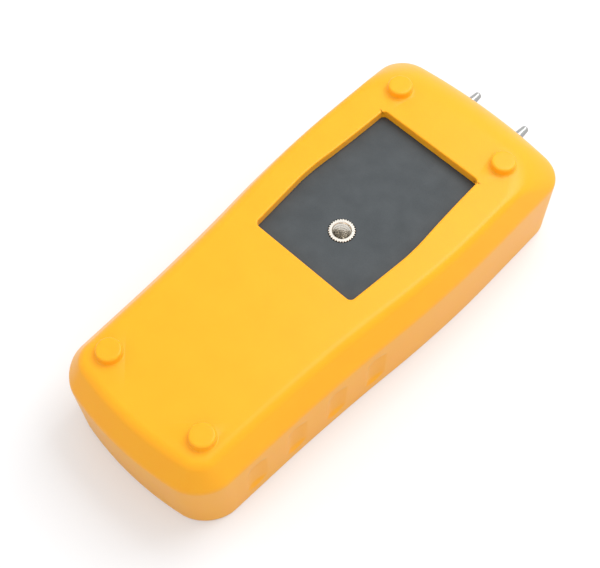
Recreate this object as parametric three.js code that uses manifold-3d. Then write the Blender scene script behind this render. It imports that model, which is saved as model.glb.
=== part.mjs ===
// Handheld pin-type moisture meter in a moulded rubber boot, lying on its face with its back up.
// Millimetres. X runs across the meter, +Y towards the electrode pins, +Z out of the back.
// The origin is on the table, under the middle of the overall box.
import * as THREE from "three";
import { mergeVertices } from "three/addons/utils/BufferGeometryUtils.js";
import Module from "manifold-3d";

const wasm = await Module();
wasm.setup();

// ---- driving dimensions -------------------------------------------------------------------

// Boot: outline at its shoulder, the widest line round it.
const BODY_LENGTH = 161;
const HEAD_WIDTH = 71.5;
const TAIL_WIDTH = 60.6;
const NOSE_WIDTH = 69.5;
const TAIL_END_RADIUS = 105;
const NOSE_END_RADIUS = 195;
const TAIL_CORNER = 9.5;
const NOSE_CORNER = 7.5;
// How much of the narrowing from head to tail, and from head to nose, is reached along the body.
const TAIL_NARROWING = [[0, 1], [0.155, 0.89], [0.28, 0.77], [0.422, 0.51], [0.559, 0.17]];
const WIDEST_AT = 0.696;
const NOSE_NARROWING = [[0.839, 0.3], [1, 1]];

// Boot: cross-section.
const BODY_DEPTH = 35;
const SHOULDER_DROP = 9.2;
const SLOPE_ANGLE = 60 * Math.PI / 180;
const HEAD_SLOPE_SHARE = 0.84;
const SIDE_EDGE_RADIUS = 2.5;
const TAIL_EDGE_RADIUS = 3;
const NOSE_EDGE_RADIUS = 17;
const BACK_NOSE_CORNER = 14;
const SIDE_DRAFT = 0.5;
const TAIL_DRAFT = 1.4;
const NOSE_DRAFT = 0.1;
const RIM_ROUND = 1.2;
const BOOT_WALL = 3;
const LIP_THICKNESS = 2.2;
const LIP_OVERLAP = 2.6;

// Boot: feet, finger scallops and the window in its back.
const FOOT_HEIGHT = 2.6;
const FOOT_RADIUS = 3.9;
const FOOT_FILLET = 0.6;
const FOOT_ROUND = 0.5;
const NOSE_FOOT_X = 21;
const NOSE_FOOT_FROM_NOSE = 18.9;
const TAIL_FOOT_X = 18.8;
const TAIL_FOOT_FROM_TAIL = 15.8;
const SCALLOP_COUNT = 4;
const SCALLOP_PITCH = 16;
const SCALLOP_FROM_TAIL = 23.4;
const SCALLOP_WIDTH = 5.6;
const SCALLOP_DEPTH = 0.9;
const SCALLOP_LOW = 5;
const SCALLOP_HIGH = 21.4;
const WINDOW_FROM_TAIL = 75;
const WINDOW_LENGTH = 57.7;
const WINDOW_END_WIDTH = 38.6;
const WINDOW_KINK_WIDTH = 42.4;
const WINDOW_KINK_AT = 25;
const WINDOW_KINK_FACET = 3.6;
const WINDOW_KINK_BEVEL = 0.25;
const WINDOW_WAIST_WIDTH = 39.2;
const WINDOW_WAIST_FROM_NOSE_END = 12.7;
const WINDOW_CORNER = 1.5;

// Clearance between neighbours, how far joined solids run into each other, and how far a cut
// runs past what it cuts.
const FIT = 0.3;
const MERGE = 0.5;
const PAST = 1;

// Case inside the boot.
const CASE_WALL = 2;
const CASE_BACK_WALL = 2.2;
const FRONT_PLATE = 2.4;
const FRONT_CASE_DEPTH = 11.5;
const SEAL_THICKNESS = 0.8;
const SEAL_WIDTH = 1.4;
const OVERLAY_THICKNESS = 0.5;
const RIB_THICKNESS = 2;

// Electrodes.
const PIN_REACH = 11.3;
const PIN_SPACING = 20.2;
const PIN_HEIGHT = 13.9;
const PIN_BASE_RADIUS = 1.75;
const PIN_TIP_RADIUS = 1.25;
const PIN_STRAIGHT = 4.5;
const PIN_DOME = 1;
const PIN_THREAD_RADIUS = 1.3;
const PIN_THREAD_LENGTH = 9;
const SOCKET_RADIUS = 2.6;
const SOCKET_LENGTH = 17;
const SOCKET_PROUD = 0.6;
const SOCKET_CHAMFER = 0.3;
const NOSE_BLOCK_WIDTH = 31.4;
const NOSE_BLOCK_HEIGHT = 11.4;
const NOSE_BLOCK_PROUD = 0.5;
const NOSE_BLOCK_FLAT_END = 4;
const NOSE_FLANGE = 2;
const NOSE_FLANGE_THICKNESS = 4;
const NOSE_OPENING_REACH = 15;
const PIN_LEAD_FROM_EDGE = 2;

// Threaded tripod insert, 1/4-20 UNC.
const INSERT_RADIUS = 4;
const INSERT_HOLE_RADIUS = 3.1;
const INSERT_LENGTH = 9.9;
const INSERT_HOLE_DEPTH = 8.6;
const INSERT_CHAMFER = 0.5;
const INSERT_PROUD = 0.2;
const INSERT_TEETH = 40;
const INSERT_TOOTH_DEPTH = 0.22;
const INSERT_FROM_TAIL = 92.4;
const INSERT_BOSS_RADIUS = 7;
const INSERT_BOSS_FLOOR = 2;

// Circuit board and display.
const BOARD_LENGTH = 68;
const BOARD_WIDTH = 54;
const BOARD_THICKNESS = 1.6;
const BOARD_CORNER = 2;
const BOARD_FROM_FACE = 6.1;
const BOARD_FROM_NOSE = 27;
const BOARD_POST_RADIUS = 2.4;
const BOARD_SCREW_RADIUS = 0.9;
const BOARD_SCREW_HEAD_RADIUS = 1.8;
const BOARD_SCREW_HEAD_THICKNESS = 1.2;
const BOARD_POST_INSET = 3.4;
const LENS_WIDTH = 45;
const LENS_LENGTH = 34;
const LENS_THICKNESS = 1.2;
const LENS_LEDGE = 2;
const LENS_CORNER = 3;
const VIEW_CORNER = 1.5;
const DISPLAY_FROM_NOSE = 44;
const LCD_WIDTH = 38;
const LCD_LENGTH = 28;
const LCD_THICKNESS = 1.8;
const LCD_FRAME_WALL = 1.4;
const ZEBRA_WIDTH = 2.2;
const CHIP_SIZE = 12;
const CHIP_THICKNESS = 1.5;
const BUZZER_RADIUS = 6;
const BUZZER_HEIGHT = 6.5;
const BUZZER_X = -17;

// Keys, each a cap on a click switch.
const KEY_TRAVEL = 0.8;
const KEY_LENGTH = 7;
const KEY_WIDTH = 11;
const KEY_SPACING = 16.5;
const POWER_KEY_RADIUS = 5.6;
const KEY_PROUD = 0.9;
const KEY_CROWN = 0.4;
const KEY_FLANGE = 1;
const KEY_FLANGE_THICKNESS = 0.8;
const KEY_ROW_FROM_NOSE = 71;
const POWER_KEY_FROM_NOSE = 87;
const SWITCH_SIZE = 6;
const SWITCH_HEIGHT = 2.7;
const SWITCH_FLOOR = 0.4;
const PLUNGER_RADIUS = 1.6;

// Battery, a PP3 block, and its bay.
const BATTERY_LENGTH = 46.4;
const BATTERY_WIDTH = 26.2;
const BATTERY_HEIGHT = 17;
const TERMINAL_HEIGHT = 2.4;
const TERMINAL_RADIUS = 2.9;
const TERMINAL_SPACING = 12.7;
const BATTERY_FROM_TAIL = 11.4;
const BAY_WALL = 1.5;
const BAY_SLACK = 0.5;
const BAY_CORNER = 1.5;
const DOOR_NOTCH_WIDTH = 12;
const DOOR_NOTCH_LENGTH = 2;
const DOOR_NOTCH_DEPTH = 0.8;
const DOOR_NOTCH_FROM_END = 4;
const FOAM_INSET = 3;
const FOAM_THICKNESS = 1.1;
const SNAP_THICKNESS = 3.2;
const SNAP_WIDTH = 23.7;
const SNAP_HEIGHT = 12;
const LEAD_RADIUS = 0.65;
const BATTERY_LEAD_X = 3;
const BATTERY_LEAD_ON_BOARD = 6.1;

// Case screws.
const SCREW_RADIUS = 1.3;
const SCREW_HEAD_RADIUS = 2.5;
const SCREW_HEAD_THICKNESS = 1.9;
const SCREW_HEAD_DEPTH = 1.9;
const SCREW_BITE = 6;
const SCREW_CROSS_WIDTH = 0.8;
const SCREW_CROSS_LENGTH = 3.6;
const SCREW_CROSS_DEPTH = 1;
const BOSS_RADIUS = 4;
const SCREW_POST_RADIUS = 3;
const NOSE_SCREW_X = 25;
const NOSE_SCREW_FROM_NOSE = 21;
const TAIL_SCREW_FROM_TAIL = 16.2;

// ---- places worked out from them ----------------------------------------------------------

const TAIL_Y = -(BODY_LENGTH + PIN_REACH) / 2;
const NOSE_Y = TAIL_Y + BODY_LENGTH;
const FACE_Z = LIP_THICKNESS + FIT;
const CASE_OFFSET = BOOT_WALL + FIT;
const CASE_BACK_Z = BODY_DEPTH - CASE_OFFSET;
const PLATE_TOP_Z = FACE_Z + FRONT_PLATE;
const FRONT_CASE_TOP_Z = FACE_Z + FRONT_CASE_DEPTH;
const SEAL_Z = FRONT_CASE_TOP_Z + FIT;
const REAR_CASE_LOW_Z = SEAL_Z + SEAL_THICKNESS + FIT;
const CASE_BACK_INSIDE_Z = CASE_BACK_Z - CASE_BACK_WALL;
const BOARD_Z = PLATE_TOP_Z + BOARD_FROM_FACE;
const BOARD_TOP_Z = BOARD_Z + BOARD_THICKNESS;
const BOARD_NOSE_Y = NOSE_Y - BOARD_FROM_NOSE;
const BOARD_MID_Y = BOARD_NOSE_Y - BOARD_LENGTH / 2;
const DISPLAY_Y = NOSE_Y - DISPLAY_FROM_NOSE;
const BATTERY_TAIL_Y = TAIL_Y + BATTERY_FROM_TAIL;
const BATTERY_NOSE_Y = BATTERY_TAIL_Y + BATTERY_LENGTH;
const BATTERY_MID_Y = (BATTERY_TAIL_Y + BATTERY_NOSE_Y) / 2;
const BATTERY_TOP_Z = CASE_BACK_INSIDE_Z - FIT - FOAM_THICKNESS - FIT;
const BATTERY_MID_Z = BATTERY_TOP_Z - BATTERY_HEIGHT / 2;
const INSERT_Y = TAIL_Y + INSERT_FROM_TAIL;
const INSERT_TOP_Z = CASE_BACK_Z + INSERT_PROUD;
const INSERT_LOW_Z = INSERT_TOP_Z - INSERT_LENGTH;
const SCREW_HEAD_LOW_Z = CASE_BACK_Z - SCREW_HEAD_DEPTH - SCREW_HEAD_THICKNESS;
const BOARD_SCREW_LOW_Z = PLATE_TOP_Z + PAST + FIT;
const KEY_FACE_Z = FACE_Z - OVERLAY_THICKNESS - KEY_PROUD + FIT;
const SOCKET_TIP_Y = NOSE_Y + SOCKET_PROUD;
const BAY_OUTSIDE_X = BATTERY_WIDTH / 2 + BAY_SLACK + FIT + BAY_WALL;
const TAIL_SCREW_X = BAY_OUTSIDE_X + BOSS_RADIUS - MERGE;
const CASE_SCREWS = [
  [-NOSE_SCREW_X, NOSE_Y - NOSE_SCREW_FROM_NOSE],
  [NOSE_SCREW_X, NOSE_Y - NOSE_SCREW_FROM_NOSE],
  [-TAIL_SCREW_X, TAIL_Y + TAIL_SCREW_FROM_TAIL],
  [TAIL_SCREW_X, TAIL_Y + TAIL_SCREW_FROM_TAIL],
];
const BOARD_POSTS = [-1, 1].flatMap((side) => [
  [side * (BOARD_WIDTH / 2 - BOARD_POST_INSET), BOARD_NOSE_Y - BOARD_POST_INSET],
  [side * (BOARD_WIDTH / 2 - BOARD_POST_INSET), BOARD_NOSE_Y - BOARD_LENGTH + BOARD_POST_INSET],
]);
const KEY_ROW_Y = NOSE_Y - KEY_ROW_FROM_NOSE;
const KEYS = [
  { name: "down", x: -KEY_SPACING, y: KEY_ROW_Y, outline: (grow) => pill(grow) },
  { name: "hold", x: 0, y: KEY_ROW_Y, outline: (grow) => pill(grow) },
  { name: "up", x: KEY_SPACING, y: KEY_ROW_Y, outline: (grow) => pill(grow) },
  { name: "power", x: 0, y: NOSE_Y - POWER_KEY_FROM_NOSE, outline: (grow) => disc(grow) },
];

// ---- colours ------------------------------------------------------------------------------

const COLOURS = {
  boot: ["#ffbe32", 0.55, 0],
  slate: ["#5c6063", 0.6, 0],
  nickel: ["#c9c8c3", 0.25, 1],
  steel: ["#d4d6d6", 0.22, 1],
  brass: ["#c9a24a", 0.3, 1],
  key: ["#3a3e41", 0.5, 0],
  clear: ["#dfe6e6", 0.08, 0],
  glass: ["#9aa78c", 0.1, 0],
  white: ["#e9e9e4", 0.5, 0],
  black: ["#1c1d1f", 0.5, 0],
  board: ["#1f6b3d", 0.45, 0],
  red: ["#b8221c", 0.45, 0],
  foam: ["#2b2b2c", 0.95, 0],
};
const group = new THREE.Group();

function add(name, colour, geometry) {
  const [color, roughness, metalness] = COLOURS[colour];
  const mesh = new THREE.Mesh(geometry, new THREE.MeshStandardMaterial({ color, roughness, metalness }));
  mesh.name = name;
  group.add(mesh);
  return mesh;
}

// ---- solids -------------------------------------------------------------------------------

function solid(geometry) {
  const bare = geometry.clone();
  bare.deleteAttribute("normal");
  bare.deleteAttribute("uv");
  const merged = mergeVertices(bare, 1e-4);
  const vertProperties = new Float32Array(merged.attributes.position.array);
  const triVerts = new Uint32Array(merged.index.array);
  return new wasm.Manifold(new wasm.Mesh({ numProp: 3, vertProperties, triVerts }));
}

function geometryOf(manifold) {
  const mesh = manifold.getMesh();
  const geometry = new THREE.BufferGeometry();
  geometry.setAttribute("position", new THREE.BufferAttribute(mesh.vertProperties, 3));
  geometry.setIndex(new THREE.BufferAttribute(mesh.triVerts, 1));
  geometry.computeVertexNormals();
  return geometry;
}

function join(manifold, geometry) {
  return manifold.add(solid(geometry));
}

function cut(manifold, geometry) {
  return manifold.subtract(solid(geometry));
}

// A box between two corners.
function block(low, high) {
  const size = high.map((value, axis) => value - low[axis]);
  const geometry = new THREE.BoxGeometry(...size);
  geometry.translate(...low.map((value, axis) => value + size[axis] / 2));
  return geometry;
}

// A round bar along Z, from low to high.
function bar(radius, x, y, low, high, segments = 20) {
  const geometry = new THREE.CylinderGeometry(radius, radius, high - low, segments);
  geometry.rotateX(Math.PI / 2);
  geometry.translate(x, y, (low + high) / 2);
  return geometry;
}

// A flat outline raised along Z, from low to high.
function raised(points, low, high) {
  const shape = new THREE.Shape(points);
  const geometry = new THREE.ExtrudeGeometry(shape, { depth: high - low, bevelEnabled: false });
  geometry.translate(0, 0, low);
  return geometry;
}

// Flat outlines at rising heights, joined into one closed skin.
function loft(rings) {
  const count = rings[0].points.length;
  const positions = rings.flatMap(({ points, z }) => points.flatMap((point) => [point.x, point.y, z]));
  const index = [];
  for (let level = 0; level + 1 < rings.length; level += 1) {
    for (let i = 0; i < count; i += 1) {
      const a = level * count + i;
      const b = level * count + (i + 1) % count;
      index.push(a, b, b + count, a, b + count, a + count);
    }
  }
  const last = (rings.length - 1) * count;
  for (const [a, b, c] of THREE.ShapeUtils.triangulateShape(rings[0].points, [])) {
    index.push(a, c, b);
  }
  for (const [a, b, c] of THREE.ShapeUtils.triangulateShape(rings[rings.length - 1].points, [])) {
    index.push(last + a, last + b, last + c);
  }
  const geometry = new THREE.BufferGeometry();
  geometry.setAttribute("position", new THREE.Float32BufferAttribute(positions, 3));
  geometry.setIndex(index);
  return geometry;
}

// A rectangle with rounded corners round (x, y).
function roundedRectangle(x, y, width, length, radius, steps = 4) {
  const points = [];
  const centres = [[1, 1], [-1, 1], [-1, -1], [1, -1]];
  centres.forEach(([right, up], corner) => {
    for (let step = 0; step <= steps; step += 1) {
      const angle = (corner + step / steps) * Math.PI / 2;
      points.push(new THREE.Vector2(
        x + right * (width / 2 - radius) + radius * Math.cos(angle),
        y + up * (length / 2 - radius) + radius * Math.sin(angle),
      ));
    }
  });
  return points;
}

function circle(radius, segments) {
  return Array.from({ length: segments }, (_, i) => {
    const angle = i / segments * 2 * Math.PI;
    return new THREE.Vector2(radius * Math.cos(angle), radius * Math.sin(angle));
  });
}

function pill(grow) {
  const length = KEY_LENGTH + 2 * grow;
  return roundedRectangle(0, 0, KEY_WIDTH + 2 * grow, length, length / 2 - 0.01, 4);
}

function disc(grow) {
  return circle(POWER_KEY_RADIUS + grow, 20);
}

// ---- the body's outline, at any depth under the boot's skin --------------------------------

const stations = [...TAIL_NARROWING, [WIDEST_AT, 0], ...NOSE_NARROWING];
const halfWidths = stations.map(([share, narrowing]) => {
  const end = share < WIDEST_AT ? TAIL_WIDTH : NOSE_WIDTH;
  return (HEAD_WIDTH - (HEAD_WIDTH - end) * narrowing) / 2;
});
const widthCurve = new THREE.CubicInterpolant(stations.map(([share]) => share), halfWidths, 1, [0]);

function halfWidth(y) {
  const share = Math.min(1, Math.max(0, (y - TAIL_Y) / BODY_LENGTH));
  return widthCurve.evaluate(share)[0];
}

// The slope beside the back is a little steeper along the head.
function slopeShare(y) {
  const head = THREE.MathUtils.smoothstep((y - TAIL_Y) / BODY_LENGTH, 0.35, WIDEST_AT);
  return 1 - (1 - HEAD_SLOPE_SHARE) * head;
}

function sag(x, radius) {
  return radius - Math.sqrt(radius * radius - x * x);
}

// Inset of the slope at height z, for a skin that lies `offset` under the boot's outside.
function slopeInset(z, offset, edgeRadius) {
  const turn = Math.tan((Math.PI / 2 - SLOPE_ANGLE) / 2);
  const shoulder = BODY_DEPTH - SHOULDER_DROP - offset * turn;
  const top = BODY_DEPTH - offset;
  const radius = Math.max(edgeRadius - offset, 0.4);
  const line = (height) => (height - shoulder) / Math.tan(SLOPE_ANGLE);
  const drop = top - z;
  if (z <= shoulder) {
    return 0;
  }
  if (drop >= radius * (1 - Math.cos(SLOPE_ANGLE))) {
    return line(z);
  }
  const flat = line(top) + radius * Math.tan(SLOPE_ANGLE / 2);
  return flat - Math.sqrt(Math.max(0, radius * radius - (radius - drop) ** 2));
}

function bodyOutline(z, offset, detail, rimRound = 0) {
  const rise = THREE.MathUtils.clamp(z / (BODY_DEPTH - SHOULDER_DROP), 0, 1);
  const climb = THREE.MathUtils.clamp((z - BODY_DEPTH + SHOULDER_DROP) / (SHOULDER_DROP - offset), 0, 1);
  const draft = (amount) => amount * (1 - rise) + offset + rimRound;
  const sideSlope = slopeInset(z, offset, SIDE_EDGE_RADIUS);
  const half = (y) => halfWidth(y) - draft(SIDE_DRAFT) - sideSlope * slopeShare(y);
  const noseIn = draft(NOSE_DRAFT) + slopeInset(z, offset, NOSE_EDGE_RADIUS);
  const tailIn = draft(TAIL_DRAFT) + slopeInset(z, offset, TAIL_EDGE_RADIUS);
  const noseEdge = (x) => NOSE_Y - noseIn - sag(x, NOSE_END_RADIUS);
  const tailEdge = (x) => TAIL_Y + tailIn + sag(x, TAIL_END_RADIUS);
  const noseCorner = Math.max(2.5, THREE.MathUtils.lerp(NOSE_CORNER, BACK_NOSE_CORNER, climb) - offset);
  const tailCorner = Math.max(3, TAIL_CORNER - offset - sideSlope);
  const meet = (edge, from) => {
    let x = half(from);
    for (let pass = 0; pass < 12; pass += 1) {
      x = half(edge(x));
    }
    return new THREE.Vector2(x, edge(x));
  };
  const noseKnee = meet(noseEdge, NOSE_Y);
  const tailKnee = meet(tailEdge, TAIL_Y);
  const round = (start, knee, end) => {
    const first = start.clone().lerp(knee, 0.55);
    const second = end.clone().lerp(knee, 0.55);
    return new THREE.CubicBezierCurve(start, first, second, end).getPoints(detail.corner);
  };
  const onTail = (x) => new THREE.Vector2(x, tailEdge(x));
  const onNose = (x) => new THREE.Vector2(x, noseEdge(x));
  const onSide = (y) => new THREE.Vector2(half(y), y);
  const sideLow = tailKnee.y + tailCorner;
  const sideHigh = noseKnee.y - noseCorner;
  const right = [];
  for (let i = 0; i < detail.end; i += 1) {
    right.push(onTail((tailKnee.x - tailCorner) * i / detail.end));
  }
  right.push(...round(onTail(tailKnee.x - tailCorner), tailKnee, onSide(sideLow)));
  for (let i = 1; i < detail.side; i += 1) {
    right.push(onSide(THREE.MathUtils.lerp(sideLow, sideHigh, i / detail.side)));
  }
  right.push(...round(onSide(sideHigh), noseKnee, onNose(noseKnee.x - noseCorner)));
  for (let i = 1; i <= detail.end; i += 1) {
    right.push(onNose((noseKnee.x - noseCorner) * (1 - i / detail.end)));
  }
  const left = right.slice(1, -1).reverse().map((point) => new THREE.Vector2(-point.x, point.y));
  return [...right, ...left];
}

const FINE = { side: 10, corner: 5, end: 3, climbs: [0.12, 0.4, 0.65, 0.83, 0.93, 0.98] };
const PLAIN = { side: 7, corner: 3, end: 2, climbs: [0.12, 0.55, 0.85, 0.97] };

// The body between two heights, `offset` under the boot's outside.
function body(offset, low, high, detail, rim = false) {
  const top = BODY_DEPTH - offset;
  const shoulder = BODY_DEPTH - SHOULDER_DROP - offset * Math.tan((Math.PI / 2 - SLOPE_ANGLE) / 2);
  const climbs = detail.climbs.map((share) => shoulder + (top - shoulder) * share);
  const heights = [shoulder - 1, ...climbs].filter((z) => z > low + 0.2 && z < high - 0.05);
  const rings = [];
  if (rim) {
    rings.push({ z: low, points: bodyOutline(low, offset, detail, RIM_ROUND) });
    rings.push({ z: low + RIM_ROUND * 0.35, points: bodyOutline(low, offset, detail, RIM_ROUND * 0.3) });
    rings.push({ z: low + RIM_ROUND, points: bodyOutline(low + RIM_ROUND, offset, detail) });
  } else {
    rings.push({ z: low, points: bodyOutline(low, offset, detail) });
  }
  for (const z of heights) {
    rings.push({ z, points: bodyOutline(z, offset, detail) });
  }
  rings.push({ z: high, points: bodyOutline(Math.min(high, top), offset, detail) });
  return solid(loft(rings));
}

// ---- boot ---------------------------------------------------------------------------------

function windowOutline() {
  const low = TAIL_Y + WINDOW_FROM_TAIL;
  const high = low + WINDOW_LENGTH;
  const kink = low + WINDOW_KINK_AT;
  const end = WINDOW_END_WIDTH / 2;
  const wide = WINDOW_KINK_WIDTH / 2;
  const waist = WINDOW_WAIST_WIDTH / 2;
  const corner = WINDOW_CORNER * (1 - Math.SQRT1_2);
  const right = [
    [end - WINDOW_CORNER, low], [end - corner, low + corner], [end, low + WINDOW_CORNER],
    [wide - WINDOW_KINK_BEVEL, kink - WINDOW_KINK_FACET], [wide, kink],
    [wide - WINDOW_KINK_BEVEL, kink + WINDOW_KINK_FACET], [waist, high - WINDOW_WAIST_FROM_NOSE_END],
    [end, high - WINDOW_CORNER], [end - corner, high - corner], [end - WINDOW_CORNER, high],
  ];
  const left = right.map(([x, y]) => [-x, y]).reverse();
  return [...right, ...left].map(([x, y]) => new THREE.Vector2(x, y));
}

// A turned foot: a small fillet at its root, a straight side and a rounded top edge.
function foot(x, y) {
  const low = BODY_DEPTH - MERGE;
  const top = BODY_DEPTH + FOOT_HEIGHT;
  const root = FOOT_RADIUS + FOOT_FILLET;
  const step = 1 - Math.SQRT1_2;
  const profile = [
    [0, low], [root, low], [root, BODY_DEPTH],
    [FOOT_RADIUS + step * FOOT_FILLET, BODY_DEPTH + step * FOOT_FILLET],
    [FOOT_RADIUS, BODY_DEPTH + FOOT_FILLET], [FOOT_RADIUS, top - FOOT_ROUND],
    [FOOT_RADIUS - step * FOOT_ROUND, top - step * FOOT_ROUND], [FOOT_RADIUS - FOOT_ROUND, top], [0, top],
  ];
  const geometry = new THREE.LatheGeometry(profile.map(([r, z]) => new THREE.Vector2(r, z)), 20);
  geometry.rotateX(Math.PI / 2);
  geometry.translate(x, y, 0);
  return solid(geometry);
}

// One finger scallop: an upright round-ended scoop in the side wall.
function scallop(side, y) {
  const radius = (SCALLOP_WIDTH ** 2 / 4 + SCALLOP_DEPTH ** 2) / (2 * SCALLOP_DEPTH);
  const reach = SCALLOP_WIDTH / 2;
  const low = SCALLOP_LOW + reach;
  const high = SCALLOP_HIGH - reach;
  const geometry = new THREE.CapsuleGeometry(radius, high - low, 4, 16);
  geometry.rotateX(Math.PI / 2);
  geometry.translate(side * (halfWidth(y) + radius - SCALLOP_DEPTH), y, (low + high) / 2);
  return solid(geometry);
}

// The electrode block's section, and the opening in a nose wall that it fills.
function noseOutline(grow) {
  const width = NOSE_BLOCK_WIDTH + 2 * grow;
  const height = NOSE_BLOCK_HEIGHT + 2 * grow;
  return roundedRectangle(0, 0, width, height, (height - NOSE_BLOCK_FLAT_END) / 2, 3);
}

function noseOpening(grow) {
  const geometry = raised(noseOutline(grow), 0, 2 * NOSE_OPENING_REACH);
  geometry.rotateX(Math.PI / 2);
  geometry.translate(0, NOSE_Y + NOSE_OPENING_REACH, PIN_HEIGHT);
  return solid(geometry);
}

function boot() {
  let shell = body(0, 0, BODY_DEPTH, FINE, true);
  shell = shell.subtract(body(BOOT_WALL, LIP_THICKNESS, BODY_DEPTH - BOOT_WALL, PLAIN));
  const mouth = bodyOutline(0, BOOT_WALL + LIP_OVERLAP, FINE);
  shell = cut(shell, raised(mouth, -PAST, LIP_THICKNESS + PAST));
  shell = cut(shell, raised(windowOutline(), BODY_DEPTH - BOOT_WALL - PAST, BODY_DEPTH + PAST));
  for (const side of [-1, 1]) {
    shell = shell.add(foot(side * NOSE_FOOT_X, NOSE_Y - NOSE_FOOT_FROM_NOSE));
    shell = shell.add(foot(side * TAIL_FOOT_X, TAIL_Y + TAIL_FOOT_FROM_TAIL));
    for (let i = 0; i < SCALLOP_COUNT; i += 1) {
      shell = shell.subtract(scallop(side, TAIL_Y + SCALLOP_FROM_TAIL + i * SCALLOP_PITCH));
    }
  }
  return shell.subtract(noseOpening(FIT));
}

add("protective_boot", "boot", geometryOf(boot()));

// ---- case ---------------------------------------------------------------------------------

const lensSeat = roundedRectangle(0, DISPLAY_Y, LENS_WIDTH + 2 * FIT, LENS_LENGTH + 2 * FIT, LENS_CORNER);

function frontCase() {
  const postLow = PLATE_TOP_Z - MERGE;
  const wallHigh = FRONT_CASE_TOP_Z + PAST;
  let shell = body(CASE_OFFSET, FACE_Z, FRONT_CASE_TOP_Z, PLAIN);
  shell = shell.subtract(body(CASE_OFFSET + CASE_WALL, PLATE_TOP_Z, wallHigh, PLAIN));
  for (const [x, y] of CASE_SCREWS) {
    shell = join(shell, bar(SCREW_POST_RADIUS, x, y, postLow, FRONT_CASE_TOP_Z, 16));
    shell = cut(shell, bar(SCREW_RADIUS + FIT, x, y, FRONT_CASE_TOP_Z - SCREW_BITE - FIT, wallHigh, 12));
  }
  for (const [x, y] of BOARD_POSTS) {
    shell = join(shell, bar(BOARD_POST_RADIUS, x, y, postLow, BOARD_Z - FIT, 14));
    shell = cut(shell, bar(BOARD_SCREW_RADIUS + FIT, x, y, BOARD_SCREW_LOW_Z - FIT, BOARD_Z, 10));
  }
  // Two ribs carry the battery.
  const ribHigh = BATTERY_TOP_Z - BATTERY_HEIGHT - FIT;
  const reach = BATTERY_WIDTH / 2;
  for (const side of [-1, 1]) {
    const low = BATTERY_MID_Y + side * BATTERY_LENGTH / 4 - RIB_THICKNESS / 2;
    shell = join(shell, block([-reach, low, postLow], [reach, low + RIB_THICKNESS, ribHigh]));
  }
  shell = cut(shell, raised(lensSeat, FACE_Z - PAST, FACE_Z + LENS_THICKNESS + FIT));
  const viewWidth = LENS_WIDTH - 2 * LENS_LEDGE;
  const viewLength = LENS_LENGTH - 2 * LENS_LEDGE;
  const view = roundedRectangle(0, DISPLAY_Y, viewWidth, viewLength, VIEW_CORNER);
  shell = cut(shell, raised(view, FACE_Z - PAST, PLATE_TOP_Z + PAST));
  for (const key of KEYS) {
    const hole = raised(key.outline(FIT), FACE_Z - PAST, PLATE_TOP_Z + PAST);
    hole.translate(key.x, key.y, 0);
    shell = cut(shell, hole);
  }
  return shell.subtract(noseOpening(FIT));
}

function bayOutline(grow) {
  const margin = 2 * (BAY_SLACK + grow);
  const width = BATTERY_WIDTH + margin;
  return roundedRectangle(0, BATTERY_MID_Y, width, BATTERY_LENGTH + margin, BAY_CORNER);
}

function rearCase() {
  const low = REAR_CASE_LOW_Z - PAST;
  const outer = body(CASE_OFFSET, REAR_CASE_LOW_Z, CASE_BACK_Z, PLAIN);
  let shell = outer.subtract(body(CASE_OFFSET + CASE_WALL, low, CASE_BACK_INSIDE_Z, PLAIN));
  // Battery bay: a short wall round the block, under the door.
  const bay = solid(raised(bayOutline(FIT + BAY_WALL), REAR_CASE_LOW_Z, CASE_BACK_INSIDE_Z + MERGE));
  shell = shell.add(bay.intersect(outer));
  shell = cut(shell, raised(bayOutline(FIT), low, CASE_BACK_Z + PAST));
  // The bay is open towards the board for the battery's terminals and its snap.
  const mouth = SNAP_WIDTH / 2 + PAST;
  const mouthLow = BATTERY_NOSE_Y + BAY_SLACK + FIT - PAST;
  const mouthHigh = mouthLow + BAY_WALL + 2 * PAST;
  shell = cut(shell, block([-mouth, mouthLow, low], [mouth, mouthHigh, BATTERY_TOP_Z - FIT]));
  const bossHigh = CASE_BACK_Z - MERGE;
  for (const [x, y] of CASE_SCREWS) {
    const boss = solid(bar(BOSS_RADIUS, x, y, REAR_CASE_LOW_Z, bossHigh, 18));
    shell = shell.add(boss.intersect(outer));
    shell = cut(shell, bar(SCREW_RADIUS + FIT, x, y, low, CASE_BACK_Z, 12));
    const headLow = SCREW_HEAD_LOW_Z - FIT;
    shell = cut(shell, bar(SCREW_HEAD_RADIUS + FIT, x, y, headLow, CASE_BACK_Z + PAST, 18));
  }
  const insertBossLow = INSERT_LOW_Z - INSERT_BOSS_FLOOR;
  shell = join(shell, bar(INSERT_BOSS_RADIUS, 0, INSERT_Y, insertBossLow, bossHigh, 24));
  shell = cut(shell, bar(INSERT_RADIUS + FIT, 0, INSERT_Y, INSERT_LOW_Z - FIT, CASE_BACK_Z + PAST, 40));
  return shell.subtract(noseOpening(FIT));
}

function seal() {
  const outer = CASE_OFFSET + FIT;
  const high = SEAL_Z + SEAL_THICKNESS;
  const ring = body(outer, SEAL_Z, high, PLAIN);
  const middle = body(outer + SEAL_WIDTH, SEAL_Z - PAST, high + PAST, PLAIN);
  return ring.subtract(middle).subtract(noseOpening(FIT));
}

function batteryDoor() {
  const blank = solid(raised(bayOutline(0), CASE_BACK_INSIDE_Z, CASE_BACK_Z));
  const door = blank.intersect(body(CASE_OFFSET, CASE_BACK_INSIDE_Z, CASE_BACK_Z, PLAIN));
  const half = DOOR_NOTCH_WIDTH / 2;
  const high = BATTERY_NOSE_Y - DOOR_NOTCH_FROM_END;
  const low = high - DOOR_NOTCH_LENGTH;
  return cut(door, block([-half, low, CASE_BACK_Z - DOOR_NOTCH_DEPTH], [half, high, CASE_BACK_Z + PAST]));
}

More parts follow.
